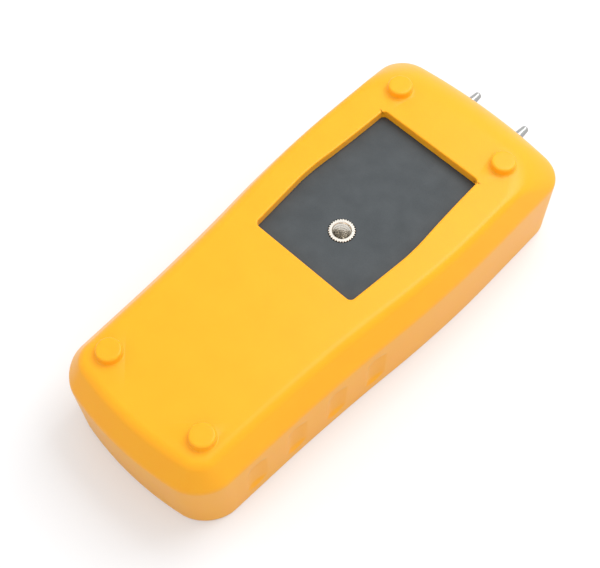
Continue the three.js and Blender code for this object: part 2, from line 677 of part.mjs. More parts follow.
// A cross-headed screw, its head in the rear case and its thread in the front one.
function caseScrew(x, y) {
  const high = SCREW_HEAD_LOW_Z + SCREW_HEAD_THICKNESS;
  const head = bar(SCREW_HEAD_RADIUS, x, y, SCREW_HEAD_LOW_Z, high, 18);
  const shank = bar(SCREW_RADIUS, x, y, FRONT_CASE_TOP_Z - SCREW_BITE, SCREW_HEAD_LOW_Z + MERGE, 12);
  const long = SCREW_CROSS_LENGTH / 2;
  const wide = SCREW_CROSS_WIDTH / 2;
  const crossLow = high - SCREW_CROSS_DEPTH;
  let screw = join(solid(head), shank);
  for (const [halfX, halfY] of [[wide, long], [long, wide]]) {
    screw = cut(screw, block([x - halfX, y - halfY, crossLow], [x + halfX, y + halfY, high + PAST]));
  }
  return screw;
}

// The printed overlay on the face, inside the boot's lip, open over the display and the keys.
function overlay() {
  const high = FACE_Z - FIT;
  const low = high - OVERLAY_THICKNESS;
  const outline = bodyOutline(0, BOOT_WALL + LIP_OVERLAP + FIT, PLAIN);
  let sheet = cut(solid(raised(outline, low, high)), raised(lensSeat, low - PAST, high + PAST));
  for (const key of KEYS) {
    const hole = raised(key.outline(2 * FIT), low - PAST, high + PAST);
    hole.translate(key.x, key.y, 0);
    sheet = cut(sheet, hole);
  }
  return sheet;
}

add("front_case", "slate", geometryOf(frontCase()));
add("rear_case", "slate", geometryOf(rearCase()));
add("case_seal", "black", geometryOf(seal()));
add("battery_door", "slate", geometryOf(batteryDoor()));
CASE_SCREWS.forEach(([x, y], i) => {
  add(`case_screw_${i + 1}`, "steel", geometryOf(caseScrew(x, y)));
});
add("face_overlay", "key", geometryOf(overlay()));

// ---- display ------------------------------------------------------------------------------

const lensOutline = roundedRectangle(0, DISPLAY_Y, LENS_WIDTH, LENS_LENGTH, LENS_CORNER);
add("display_lens", "clear", raised(lensOutline, FACE_Z, FACE_Z + LENS_THICKNESS));

const frameLow = PLATE_TOP_Z + FIT;
const frameHigh = BOARD_Z - FIT;
const glassLow = frameLow + FIT;
const glassHigh = glassLow + LCD_THICKNESS;
const frameWidth = LCD_WIDTH + 2 * FIT;
const frameLength = LCD_LENGTH + 2 * FIT;

function centred(width, length, low, high) {
  return block([-width / 2, DISPLAY_Y - length / 2, low], [width / 2, DISPLAY_Y + length / 2, high]);
}

const rim = 2 * LCD_FRAME_WALL;
const frameOuter = centred(frameWidth + rim, frameLength + rim, frameLow, frameHigh);
const frameHole = centred(frameWidth, frameLength, frameLow - PAST, frameHigh + PAST);
add("lcd_frame", "white", geometryOf(cut(solid(frameOuter), frameHole)));
add("lcd_glass", "glass", centred(LCD_WIDTH, LCD_LENGTH, glassLow, glassHigh));
const lightLength = LCD_LENGTH - 2 * (ZEBRA_WIDTH + FIT);
add("lcd_backlight", "white", centred(LCD_WIDTH, lightLength, glassHigh + FIT, frameHigh));
[["zebra_strip_tail", -1], ["zebra_strip_nose", 1]].forEach(([name, end]) => {
  const strip = centred(LCD_WIDTH, ZEBRA_WIDTH, glassHigh + FIT, frameHigh);
  strip.translate(0, end * (LCD_LENGTH - ZEBRA_WIDTH) / 2, 0);
  add(name, "foam", strip);
});

// ---- circuit board ------------------------------------------------------------------------

function mainBoard() {
  const outline = roundedRectangle(0, BOARD_MID_Y, BOARD_WIDTH, BOARD_LENGTH, BOARD_CORNER, 2);
  let board = solid(raised(outline, BOARD_Z, BOARD_TOP_Z));
  for (const [x, y] of BOARD_POSTS) {
    board = cut(board, bar(BOARD_SCREW_RADIUS + FIT, x, y, BOARD_Z - PAST, BOARD_TOP_Z + PAST, 12));
  }
  // A battery long enough to reach the board lies in a notch in it.
  return cut(board, raised(bayOutline(FIT), BOARD_Z - PAST, BOARD_TOP_Z + PAST));
}

const partLow = BOARD_TOP_Z + FIT;

function boardScrew(x, y) {
  const head = bar(BOARD_SCREW_HEAD_RADIUS, x, y, partLow, partLow + BOARD_SCREW_HEAD_THICKNESS, 14);
  return join(solid(head), bar(BOARD_SCREW_RADIUS, x, y, BOARD_SCREW_LOW_Z, partLow + MERGE, 10));
}

add("main_board", "board", geometryOf(mainBoard()));
BOARD_POSTS.forEach(([x, y], i) => {
  add(`board_screw_${i + 1}`, "steel", geometryOf(boardScrew(x, y)));
});
add("controller_chip", "black", centred(CHIP_SIZE, CHIP_SIZE, partLow, partLow + CHIP_THICKNESS));
add("buzzer", "black", bar(BUZZER_RADIUS, BUZZER_X, KEY_ROW_Y, partLow, partLow + BUZZER_HEIGHT, 24));

// ---- keys ---------------------------------------------------------------------------------

// A domed cap with a flange behind the face plate.
function keyCap(key) {
  const flangeLow = PLATE_TOP_Z + FIT;
  const cap = solid(loft([
    { z: KEY_FACE_Z, points: key.outline(-KEY_CROWN) },
    { z: KEY_FACE_Z + KEY_CROWN, points: key.outline(0) },
    { z: flangeLow + MERGE, points: key.outline(0) },
  ]));
  return join(cap, raised(key.outline(KEY_FLANGE), flangeLow, flangeLow + KEY_FLANGE_THICKNESS));
}

function keySwitch() {
  const half = SWITCH_SIZE / 2;
  const high = BOARD_Z - FIT;
  const low = high - SWITCH_HEIGHT;
  const shell = solid(block([-half, -half, low], [half, half, high]));
  return cut(shell, bar(PLUNGER_RADIUS + FIT, 0, 0, low - PAST, high - SWITCH_FLOOR, 16));
}

for (const key of KEYS) {
  const plungerLow = PLATE_TOP_Z + FIT + KEY_FLANGE_THICKNESS + FIT;
  const plungerHigh = BOARD_Z - FIT - SWITCH_FLOOR - KEY_TRAVEL - FIT;
  const pieces = [
    ["key", "key", geometryOf(keyCap(key))],
    ["switch", "black", geometryOf(keySwitch())],
    ["plunger", "white", bar(PLUNGER_RADIUS, 0, 0, plungerLow, plungerHigh, 16)],
  ];
  for (const [piece, colour, geometry] of pieces) {
    geometry.translate(key.x, key.y, 0);
    add(`${key.name}_${piece}`, colour, geometry);
  }
}

// ---- battery ------------------------------------------------------------------------------

function batteryBlock() {
  const half = BATTERY_WIDTH / 2;
  const low = [-half, BATTERY_TAIL_Y, BATTERY_TOP_Z - BATTERY_HEIGHT];
  let battery = solid(block(low, [half, BATTERY_NOSE_Y, BATTERY_TOP_Z]));
  const studLength = TERMINAL_HEIGHT + MERGE;
  for (const side of [-1, 1]) {
    const stud = new THREE.CylinderGeometry(TERMINAL_RADIUS, TERMINAL_RADIUS, studLength, 12);
    stud.translate(side * TERMINAL_SPACING / 2, BATTERY_NOSE_Y - MERGE + studLength / 2, BATTERY_MID_Z);
    battery = join(battery, stud);
  }
  return battery;
}

add("battery", "black", geometryOf(batteryBlock()));
const foamLow = BATTERY_TOP_Z + FIT;
const foamWidth = BATTERY_WIDTH - 2 * FOAM_INSET;
const foamOutline = roundedRectangle(0, BATTERY_MID_Y, foamWidth, BATTERY_LENGTH - 2 * FOAM_INSET, 2, 2);
add("battery_foam", "foam", raised(foamOutline, foamLow, foamLow + FOAM_THICKNESS));

const snapLow = BATTERY_NOSE_Y + TERMINAL_HEIGHT + FIT;
const snapHigh = snapLow + SNAP_THICKNESS;
add("battery_snap", "black", block(
  [-SNAP_WIDTH / 2, snapLow, BATTERY_MID_Z - SNAP_HEIGHT / 2],
  [SNAP_WIDTH / 2, snapHigh, BATTERY_MID_Z + SNAP_HEIGHT / 2]));

// A lead of round section along a smooth curve.
function lead(points, steps) {
  const curve = new THREE.CatmullRomCurve3(points.map((point) => new THREE.Vector3(...point)));
  const section = new THREE.Shape(circle(LEAD_RADIUS, 8));
  return new THREE.ExtrudeGeometry(section, { steps, extrudePath: curve, bevelEnabled: false });
}

const landing = BOARD_TOP_Z + 2 * FIT;
const landingY = Math.max(snapHigh, BOARD_NOSE_Y - BOARD_LENGTH) + BATTERY_LEAD_ON_BOARD;
[["battery_lead_red", "red", 1], ["battery_lead_black", "black", -1]].forEach(([name, colour, side]) => {
  const start = side * BATTERY_LEAD_X;
  const end = 1.5 * start;
  add(name, colour, lead([
    [start, snapHigh + FIT, BATTERY_MID_Z], [start, snapHigh + 3, BATTERY_MID_Z],
    [end, landingY - 1.8, BATTERY_MID_Z - 2], [end, landingY, landing + 2.5], [end, landingY, landing],
  ], 12));
});

// ---- tripod insert ------------------------------------------------------------------------

function tripodInsert() {
  const teeth = Array.from({ length: INSERT_TEETH * 2 }, (_, i) => {
    const angle = i * Math.PI / INSERT_TEETH;
    const radius = INSERT_RADIUS - (i % 2) * INSERT_TOOTH_DEPTH;
    return new THREE.Vector2(radius * Math.cos(angle), radius * Math.sin(angle));
  });
  const holeLow = INSERT_TOP_Z - INSERT_HOLE_DEPTH;
  let insert = solid(raised(teeth, INSERT_LOW_Z, INSERT_TOP_Z));
  insert = cut(insert, bar(INSERT_HOLE_RADIUS, 0, 0, holeLow, INSERT_TOP_Z + PAST, 32));
  const rise = INSERT_CHAMFER + PAST;
  const cone = new THREE.CylinderGeometry(INSERT_HOLE_RADIUS + rise, INSERT_HOLE_RADIUS, rise, 32);
  cone.rotateX(Math.PI / 2);
  cone.translate(0, 0, INSERT_TOP_Z - INSERT_CHAMFER + rise / 2);
  const geometry = geometryOf(cut(insert, cone));
  geometry.translate(0, INSERT_Y, 0);
  return geometry;
}

add("tripod_insert", "nickel", tripodInsert());

// ---- electrodes ---------------------------------------------------------------------------

// A turned piece along +Y, from a profile of [radius, y].
function turned(profile, x) {
  const geometry = new THREE.LatheGeometry(profile.map(([r, y]) => new THREE.Vector2(r, y)), 16);
  geometry.translate(x, 0, PIN_HEIGHT);
  return geometry;
}

function noseBlock() {
  const high = NOSE_Y + NOSE_BLOCK_PROUD;
  const wide = NOSE_BLOCK_WIDTH / 2 + NOSE_FLANGE;
  const tall = NOSE_BLOCK_HEIGHT / 2 + NOSE_FLANGE;
  const flangeHigh = NOSE_Y - CASE_OFFSET - CASE_WALL - NOSE_DRAFT - sag(wide, NOSE_END_RADIUS) - FIT;
  const low = flangeHigh - NOSE_FLANGE_THICKNESS;
  const plug = raised(noseOutline(0), 0, high - low);
  plug.rotateX(Math.PI / 2);
  plug.translate(0, high, PIN_HEIGHT);
  const flange = block([-wide, low, PIN_HEIGHT - tall], [wide, flangeHigh, PIN_HEIGHT + tall]);
  let piece = join(solid(plug), flange);
  const length = high - low + 2 * PAST;
  for (const side of [-1, 1]) {
    const bore = new THREE.CylinderGeometry(SOCKET_RADIUS + FIT, SOCKET_RADIUS + FIT, length, 20);
    bore.translate(side * PIN_SPACING / 2, (high + low) / 2, PIN_HEIGHT);
    piece = cut(piece, bore);
  }
  return piece;
}

add("nose_block", "key", geometryOf(noseBlock()));

const socketLow = SOCKET_TIP_Y - SOCKET_LENGTH;

function pinSocket(x) {
  const bore = PIN_THREAD_RADIUS + FIT;
  const boreLow = SOCKET_TIP_Y - PIN_THREAD_LENGTH - FIT;
  return turned([
    [0, socketLow], [SOCKET_RADIUS, socketLow], [SOCKET_RADIUS, SOCKET_TIP_Y - SOCKET_CHAMFER],
    [SOCKET_RADIUS - SOCKET_CHAMFER, SOCKET_TIP_Y], [bore, SOCKET_TIP_Y], [bore, boreLow], [0, boreLow],
  ], x);
}

function electrodePin(x) {
  const threadLow = SOCKET_TIP_Y - PIN_THREAD_LENGTH;
  const shoulder = SOCKET_TIP_Y + FIT;
  const tip = NOSE_Y + PIN_REACH;
  const dome = [0, 1, 2, 3].map((step) => {
    const angle = step * Math.PI / 8;
    return [PIN_TIP_RADIUS * Math.cos(angle), tip - PIN_DOME * (1 - Math.sin(angle))];
  });
  return turned([
    [0, threadLow], [PIN_THREAD_RADIUS, threadLow], [PIN_THREAD_RADIUS, shoulder],
    [PIN_BASE_RADIUS, shoulder], [PIN_BASE_RADIUS, shoulder + PIN_STRAIGHT], ...dome, [0, tip],
  ], x);
}

[["left", -1], ["right", 1]].forEach(([name, side]) => {
  const x = side * PIN_SPACING / 2;
  const start = socketLow - FIT;
  const end = BOARD_NOSE_Y - PIN_LEAD_FROM_EDGE;
  add(`pin_socket_${name}`, "brass", pinSocket(x));
  add(`electrode_pin_${name}`, "steel", electrodePin(x));
  add(`pin_lead_${name}`, side < 0 ? "white" : "red", lead([
    [x, start, PIN_HEIGHT], [x, start - 2.5, PIN_HEIGHT + 0.4], [x, (start + end) / 2, PIN_HEIGHT + 2.8],
    [x, end + 0.4, landing + 2.4], [x, end, landing],
  ], 10));
});

export default group;
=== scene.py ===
# %% [markdown]
# # A pin-type moisture meter in its rubber boot
# The meter lies on its face, so its back is what we look at: a yellow rubber boot with four round
# feet, a window that shows the grey case, a threaded tripod insert, and two steel electrode pins
# at the nose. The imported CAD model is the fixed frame. Every piece made here goes where that frame
# says, and moves with one of its bodies.

import math

import bmesh
import bpy
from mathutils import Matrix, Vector


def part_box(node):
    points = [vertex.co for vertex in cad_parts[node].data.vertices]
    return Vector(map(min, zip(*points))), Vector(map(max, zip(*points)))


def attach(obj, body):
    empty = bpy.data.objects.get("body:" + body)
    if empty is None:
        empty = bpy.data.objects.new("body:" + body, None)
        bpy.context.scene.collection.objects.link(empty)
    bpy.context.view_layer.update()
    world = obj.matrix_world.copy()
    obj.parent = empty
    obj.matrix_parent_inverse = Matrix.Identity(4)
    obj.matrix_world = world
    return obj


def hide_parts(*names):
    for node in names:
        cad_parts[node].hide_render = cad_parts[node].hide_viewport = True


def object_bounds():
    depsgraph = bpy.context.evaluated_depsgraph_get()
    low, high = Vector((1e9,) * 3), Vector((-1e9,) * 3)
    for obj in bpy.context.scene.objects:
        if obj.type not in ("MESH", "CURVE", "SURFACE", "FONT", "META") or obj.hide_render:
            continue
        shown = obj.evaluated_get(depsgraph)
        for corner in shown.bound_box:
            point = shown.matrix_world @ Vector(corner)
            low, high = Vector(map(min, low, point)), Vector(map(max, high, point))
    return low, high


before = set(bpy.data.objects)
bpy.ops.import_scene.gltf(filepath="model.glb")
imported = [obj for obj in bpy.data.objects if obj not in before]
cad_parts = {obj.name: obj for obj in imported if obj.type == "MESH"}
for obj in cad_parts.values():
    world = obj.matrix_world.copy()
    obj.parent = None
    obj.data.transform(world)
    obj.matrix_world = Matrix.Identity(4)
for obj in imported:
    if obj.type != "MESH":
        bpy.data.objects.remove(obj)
cad_low, cad_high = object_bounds()
MM = 0.001
print("CAD box in mm:", [round(size / MM, 1) for size in cad_high - cad_low])

# %% [markdown]
# ## Camera
# The camera has a long lens and looks down from well above, so that the upright walls stay short and
# the back shows almost whole. It is placed by its azimuth and elevation round a point on the back,
# which is easier to read than three coordinates.

# %% Camera
VIEW_AZIMUTH = math.radians(43.6)
VIEW_ELEVATION = math.radians(60.76)
VIEW_DISTANCE = 381.6 * MM
VIEW_CENTRE = Vector((4.8, -17.04, 35)) * MM
LENS_MM = 78.76

camera = bpy.data.objects.new("camera", bpy.data.cameras.new("camera"))
bpy.context.scene.collection.objects.link(camera)
towards = Vector((
    math.cos(VIEW_ELEVATION) * math.sin(VIEW_AZIMUTH),
    -math.cos(VIEW_ELEVATION) * math.cos(VIEW_AZIMUTH),
    math.sin(VIEW_ELEVATION)))
camera.location = VIEW_CENTRE + VIEW_DISTANCE * towards
camera.rotation_euler = (-towards).to_track_quat("-Z", "Y").to_euler()
camera.data.lens = LENS_MM
camera.data.clip_start = 10 * MM
bpy.context.scene.camera = camera
bpy.context.scene.view_settings.view_transform = "Standard"
print("camera at", [round(value, 4) for value in camera.location])

# %% [markdown]
# ## Two helpers for materials
# Colours are chosen as sRGB hex values, as in a paint program, but a shader works in linear light,
# so one function converts them. A second one adds a node with its settings and links, so that a
# material reads as a list of what is plugged into what.

# %% Material helpers
def linear(hex_colour, alpha=1.0):
    channels = [int(hex_colour[i:i + 2], 16) / 255 for i in (1, 3, 5)]
    return (*[c / 12.92 if c <= 0.04045 else ((c + 0.055) / 1.055) ** 2.4 for c in channels], alpha)


def add_node(tree, kind, inputs=None, **settings):
    """Adds a node. An input is a value, or (node, output name) for a link."""
    made = tree.nodes.new(kind)
    for name, value in settings.items():
        setattr(made, name, value)
    for name, value in (inputs or {}).items():
        if isinstance(value, tuple) and isinstance(value[0], bpy.types.Node):
            tree.links.new(value[0].outputs[value[1]], made.inputs[name])
        else:
            made.inputs[name].default_value = value
    return made


def start_material(name):
    """An empty material, its node tree and its object coordinates, in metres."""
    made = bpy.data.materials.new(name)
    made.use_nodes = True
    made.node_tree.nodes.clear()
    place = add_node(made.node_tree, "ShaderNodeTexCoord")
    return made, made.node_tree, (place, "Object")


def finish_material(tree, shader):
    add_node(tree, "ShaderNodeOutputMaterial", {"Surface": (shader, 0)})


# %% [markdown]
# ## Studio
# The set is a white sweep. The world gives an even, plain level of light from all round, and one
# large soft lamp from the nose end adds the gentle difference between faces. Where the camera, a
# glossy ray or a transmitted ray looks past the meter it sees pure white, but that white adds no
# light to the object. The paper floor is a pale grey that takes a soft shadow, and a glow that only
# the camera sees lifts it to white. It lies a hair under the boot's rim, so that the two don't share
# a plane.

# %% World
AMBIENT = 0.92

world = bpy.data.worlds.new("white_sweep")
bpy.context.scene.world = world
world.use_nodes = True
sky = world.node_tree
sky.nodes.clear()
ray = add_node(sky, "ShaderNodeLightPath")
seen_or_mirrored = add_node(sky, "ShaderNodeMath", {
    0: (ray, "Is Camera Ray"), 1: (ray, "Is Glossy Ray")}, operation="MAXIMUM")
seen = add_node(sky, "ShaderNodeMath", {
    0: (seen_or_mirrored, 0), 1: (ray, "Is Transmission Ray")}, operation="MAXIMUM")
level = add_node(sky, "ShaderNodeMapRange", {
    "Value": (seen, 0), "To Min": AMBIENT, "To Max": 1.0})
backdrop = add_node(sky, "ShaderNodeBackground", {
    "Color": (1, 1, 1, 1), "Strength": (level, "Result")})
add_node(sky, "ShaderNodeOutputWorld", {"Surface": (backdrop, 0)})

# %% Floor
FLOOR_SIZE = 3.0
FLOOR_GLOW = 0.26
FLOOR_DROP = 0.05 * MM

bpy.ops.object.select_all(action="DESELECT")
bpy.ops.mesh.primitive_plane_add(size=FLOOR_SIZE)
floor = bpy.context.object
floor.name = "floor"
paper, tree, place = start_material("white_paper_floor")
ray = add_node(tree, "ShaderNodeLightPath")
glow = add_node(tree, "ShaderNodeMath", {
    0: (ray, "Is Camera Ray"), 1: FLOOR_GLOW}, operation="MULTIPLY")
finish_material(tree, add_node(tree, "ShaderNodeBsdfPrincipled", {
    "Base Color": linear("#d2d3d5"), "Roughness": 1.0, "Specular IOR Level": 0.0,
    "Emission Color": (1, 1, 1, 1), "Emission Strength": (glow, 0)}))
floor.data.materials.append(paper)
floor.location.z = -FLOOR_DROP
print("floor:", FLOOR_SIZE, "m square")

# %% Key lamp
KEY_POWER = 4.8
KEY_SIZE = 0.6
KEY_PLACE = Vector((0.08, 0.5, 0.8))
KEY_AIM = Vector((0, 0, 0.03))

lamp = bpy.data.lights.new("softbox", "AREA")
lamp.energy = KEY_POWER
lamp.size = KEY_SIZE
softbox = bpy.data.objects.new("softbox", lamp)
softbox.location = KEY_PLACE
softbox.rotation_euler = (KEY_AIM - KEY_PLACE).to_track_quat("-Z", "Y").to_euler()
bpy.context.scene.collection.objects.link(softbox)
print("studio: ambient", AMBIENT, "key", KEY_POWER, "W")

# %% [markdown]
# ## Boot rubber
# The boot is moulded from thermoplastic rubber, coloured right through. Light enters it a little and
# comes out again, which keeps its shaded faces a warm orange. The mould was lightly etched, so the
# skin is satin: a broad, soft shine, with a grain of a quarter of a millimetre. A faint mottle, nine
# millimetres across, keeps the large flat back from looking painted.

# %% Boot rubber
RUBBER_GRAIN = 0.25 * MM
RUBBER_MOTTLE = 9 * MM

boot_rubber, tree, place = start_material("moulded_orange_rubber")
grain = add_node(tree, "ShaderNodeTexNoise", {
    "Vector": place, "Scale": 1 / RUBBER_GRAIN, "Detail": 2.0, "Roughness": 0.6})
mottle = add_node(tree, "ShaderNodeTexNoise", {
    "Vector": place, "Scale": 1 / RUBBER_MOTTLE, "Detail": 3.0, "Roughness": 0.5})
colour = add_node(tree, "ShaderNodeValToRGB", {"Fac": (mottle, "Fac")})
colour.color_ramp.elements[0].position = 0.3
colour.color_ramp.elements[0].color = linear("#ffad17")
colour.color_ramp.elements[1].position = 0.7
colour.color_ramp.elements[1].color = linear("#ffb018")
shine = add_node(tree, "ShaderNodeMapRange", {
    "Value": (mottle, "Fac"), "From Min": 0.3, "From Max": 0.7, "To Min": 0.31, "To Max": 0.35})
relief = add_node(tree, "ShaderNodeBump", {
    "Height": (grain, "Fac"), "Strength": 0.06, "Distance": 0.02 * MM})
finish_material(tree, add_node(tree, "ShaderNodeBsdfPrincipled", {
    "Base Color": (colour, "Color"), "Roughness": (shine, "Result"), "IOR": 1.5,
    "Specular IOR Level": 0.3,
    "Subsurface Weight": 0.12, "Subsurface Radius": (1.0, 0.35, 0.05), "Subsurface Scale": 1.2 * MM,
    "Sheen Weight": 0.2, "Sheen Roughness": 0.35, "Sheen Tint": linear("#fff0d8"),
    "Normal": (relief, "Normal")}))
print("made", boot_rubber.name)

# %% [markdown]
# ## The boot's outline
# Seen from the back, the boot widens from tail to head and narrows a little to the nose, with gently
# bowed ends. Its width is a smooth curve through a few stations. Its section is an upright wall, a
# shoulder, a 60 degree slope and a rounded edge onto the flat back. The edge is crisp at the tail and
# the sides, and very soft at the nose. The same few sizes as in the CAD model drive it, in
# millimetres.

# %% Sizes of the boot
BODY_LENGTH = 161
TAIL_Y = cad_low.y / MM
NOSE_Y = TAIL_Y + BODY_LENGTH
BODY_DEPTH = 35
# Each station is a share of the length from the tail, and the width there.
STATIONS = ((0, 60.6), (0.155, 61.8), (0.28, 63.11), (0.422, 65.94), (0.559, 69.65),
            (0.696, 71.5), (0.839, 70.9), (1, 69.5))
TAIL_BOW, NOSE_BOW = 105, 195
SHOULDER_Z = BODY_DEPTH - 9.2
SLOPE = math.radians(60)
HEAD_SHARE = 0.696
# The slope comes in less far at the head. It starts to change at this share of the length.
HEAD_SLOPE_SHARE = 0.84
HEAD_SLOPE_START = 0.35
SIDE_EDGE, TAIL_EDGE, NOSE_EDGE = 4, 4, 17
TAIL_CORNER, NOSE_CORNER, BACK_NOSE_CORNER = 9.5, 7.5, 14
SIDE_DRAFT, TAIL_DRAFT, NOSE_DRAFT = 0.5, 1.4, 0.1
SHOULDER_ROUND = 5
RIM_ROUND = 1.2
WALL = 3
LIP_THICKNESS = 2.2
LIP_OVERLAP = 2.6
LIP_EDGE = 0.5
print("boot:", BODY_LENGTH, "mm long,", BODY_DEPTH, "mm deep")


# %% Width along the body
def width_slopes():
    """The slope of the width curve at each station, with no bend at its two ends."""
    spans = [(b[1] - a[1]) / (b[0] - a[0]) for a, b in zip(STATIONS, STATIONS[1:])]
    inner = [(c[1] - a[1]) / (c[0] - a[0]) for a, c in zip(STATIONS, STATIONS[2:])]
    return [1.5 * spans[0] - 0.5 * inner[0], *inner, 1.5 * spans[-1] - 0.5 * inner[-1]]


SLOPES = width_slopes()


def half_width(y):
    share = min(1, max(0, (y - TAIL_Y) / BODY_LENGTH))
    i = max(k for k in range(len(STATIONS) - 1) if STATIONS[k][0] <= share)
    (low, start), (high, end) = STATIONS[i], STATIONS[i + 1]
    span = high - low
    t = (share - low) / span
    width = (start * (2 * t ** 3 - 3 * t ** 2 + 1) + end * (3 * t ** 2 - 2 * t ** 3)
             + span * (SLOPES[i] * (t ** 3 - 2 * t ** 2 + t) + SLOPES[i + 1] * (t ** 3 - t ** 2)))
    return width / 2


def smoothstep(value, low, high):
    t = min(1, max(0, (value - low) / (high - low)))
    return t * t * (3 - 2 * t)


def sag(x, radius):
    return radius - math.sqrt(radius * radius - x * x)


print("half width at the head:", round(half_width(TAIL_Y + HEAD_SHARE * BODY_LENGTH), 2), "mm")


# %% Section of the skin
SHARPEST_EDGE = 0.4
CORNER_PULL = 0.55


def slope_inset(z, depth, edge):
    """How far the slope has come in at height z, for a skin that lies depth under the outside."""
    shoulder = SHOULDER_Z - depth * math.tan((math.pi / 2 - SLOPE) / 2)
    top = BODY_DEPTH - depth
    radius = max(edge - depth, SHARPEST_EDGE)
    drop = top - z

    def line(height):
        return (height - shoulder) / math.tan(SLOPE)

    if drop < radius * (1 - math.cos(SLOPE)):
        flat = line(top) + radius * math.tan(SLOPE / 2)
        return flat - math.sqrt(max(0, radius * radius - (radius - drop) ** 2))
    # The shoulder is a soft turn from the upright wall into the slope.
    reach = SHOULDER_ROUND * math.tan((math.pi / 2 - SLOPE) / 2)
    low = shoulder - reach
    high = shoulder + reach * math.sin(SLOPE)
    if z <= low:
        return 0
    if z >= high:
        return line(z)
    return SHOULDER_ROUND - math.sqrt(SHOULDER_ROUND ** 2 - (z - low) ** 2)


def bezier_corner(start, knee, end, steps):
    """A turn from start to end. At a pull of 0.55 it is nearly a quarter of a circle."""
    first = start.lerp(knee, CORNER_PULL)
    second = end.lerp(knee, CORNER_PULL)
    made = []
    for k in range(steps + 1):
        t = k / steps
        made.append((1 - t) ** 3 * start + 3 * t * (1 - t) ** 2 * first
                    + 3 * t * t * (1 - t) * second + t ** 3 * end)
    return made


def at_height(outline, z):
    return [Vector((point.x, point.y, z)) for point in outline]


print("the side slope comes in", round(slope_inset(BODY_DEPTH, 0, SIDE_EDGE), 2), "mm")


# %% [markdown]
# The outline at one height is a closed ring of points. Every ring has the same number of points, and
# they stay in step from ring to ring, so that the rings can be joined into a skin of clean quads. The
# tail half of each side has the closest points, because the finger scallops are cut there.

# %% Rings of the body
CORNER_STEPS = 14
END_STEPS = 14
MEETING_ROUNDS = 14
SMALLEST_NOSE_CORNER, SMALLEST_TAIL_CORNER = 2.5, 3
TAIL_SIDE_STEPS, HEAD_SIDE_STEPS = 130, 34
TAIL_SIDE_SHARE = 0.52
SIDE_SHARES = ([TAIL_SIDE_SHARE * k / TAIL_SIDE_STEPS for k in range(1, TAIL_SIDE_STEPS)]
               + [TAIL_SIDE_SHARE + (1 - TAIL_SIDE_SHARE) * k / HEAD_SIDE_STEPS
                  for k in range(HEAD_SIDE_STEPS)])


def body_ring(z, depth=0, rim=0):
    """The outline at height z, depth under the outside and drawn in a further rim at the mouth."""
    rise = min(1, max(0, z / SHOULDER_Z))
    climb = min(1, max(0, (z - SHOULDER_Z) / (BODY_DEPTH - SHOULDER_Z - depth)))
    inset = depth + rim
    side_slope = slope_inset(z, depth, SIDE_EDGE)

    def half(y):
        head = smoothstep((y - TAIL_Y) / BODY_LENGTH, HEAD_SLOPE_START, HEAD_SHARE)
        share = 1 - (1 - HEAD_SLOPE_SHARE) * head
        return half_width(y) - SIDE_DRAFT * (1 - rise) - inset - side_slope * share

    nose_in = NOSE_DRAFT * (1 - rise) + inset + slope_inset(z, depth, NOSE_EDGE)
    tail_in = TAIL_DRAFT * (1 - rise) + inset + slope_inset(z, depth, TAIL_EDGE)

    def on_nose(x):
        return Vector((x, NOSE_Y - nose_in - sag(x, NOSE_BOW)))

    def on_tail(x):
        return Vector((x, TAIL_Y + tail_in + sag(x, TAIL_BOW)))

    def meet(edge, y):
        """Where the side and an end would meet at a sharp corner, found by going to and fro."""
        for _ in range(MEETING_ROUNDS):
            x = half(y)
            y = edge(x).y
        return Vector((x, y))

    nose_corner = max(SMALLEST_NOSE_CORNER,
                      NOSE_CORNER + (BACK_NOSE_CORNER - NOSE_CORNER) * climb - depth)
    tail_corner = max(SMALLEST_TAIL_CORNER, TAIL_CORNER - depth - side_slope)
    nose_knee = meet(on_nose, NOSE_Y)
    tail_knee = meet(on_tail, TAIL_Y)
    low = tail_knee.y + tail_corner
    high = nose_knee.y - nose_corner
    right = [on_tail((tail_knee.x - tail_corner) * k / END_STEPS) for k in range(END_STEPS)]
    right += bezier_corner(on_tail(tail_knee.x - tail_corner), tail_knee,
                           Vector((half(low), low)), CORNER_STEPS)
    for share in SIDE_SHARES:
        y = low + (high - low) * share
        right.append(Vector((half(y), y)))
    right += bezier_corner(Vector((half(high), high)), nose_knee,
                           on_nose(nose_knee.x - nose_corner), CORNER_STEPS)
    right += [on_nose((nose_knee.x - nose_corner) * (1 - k / END_STEPS))
              for k in range(1, END_STEPS + 1)]
    left = [Vector((-point.x, point.y)) for point in right[-2:0:-1]]
    return [Vector((point.x, point.y, z)) for point in right + left]


print("points in a ring:", len(body_ring(10)))


# %% [markdown]
# ## A skin over rings
# Blender's grid primitive is a sheet of squares. Rolled round the body, with each row of its vertices
# laid on one ring and the two long edges welded, it becomes a tube that follows the rings exactly.
# This gives the boot a finish that pushing a cage of cube faces about can't reach, because its edges
# change from crisp to soft on the way round.

# %% Skin helper
WELD = 0.001 * MM


def deselect():
    if bpy.context.object and bpy.context.object.mode != "OBJECT":
        bpy.ops.object.mode_set(mode="OBJECT")
    bpy.ops.object.select_all(action="DESELECT")


def edit(piece):
    """Opens one piece alone in edit mode."""
    deselect()
    piece.select_set(True)
    bpy.context.view_layer.objects.active = piece
    bpy.ops.object.mode_set(mode="EDIT")


def skin_over(rings, name):
    """A grid rolled round a list of closed rings in millimetres, and welded along its seam."""
    deselect()
    columns = len(rings[0])
    bpy.ops.mesh.primitive_grid_add(x_subdivisions=columns, y_subdivisions=len(rings) - 1, size=1)
    made = bpy.context.object
    made.name = name
    places = [point * MM for ring in rings for point in [*ring, ring[0]]]
    made.data.vertices.foreach_set("co", [value for place in places for value in place])
    edit(made)
    bpy.ops.mesh.select_all(action="SELECT")
    bpy.ops.mesh.remove_doubles(threshold=WELD)
    bpy.ops.object.mode_set(mode="OBJECT")
    return made


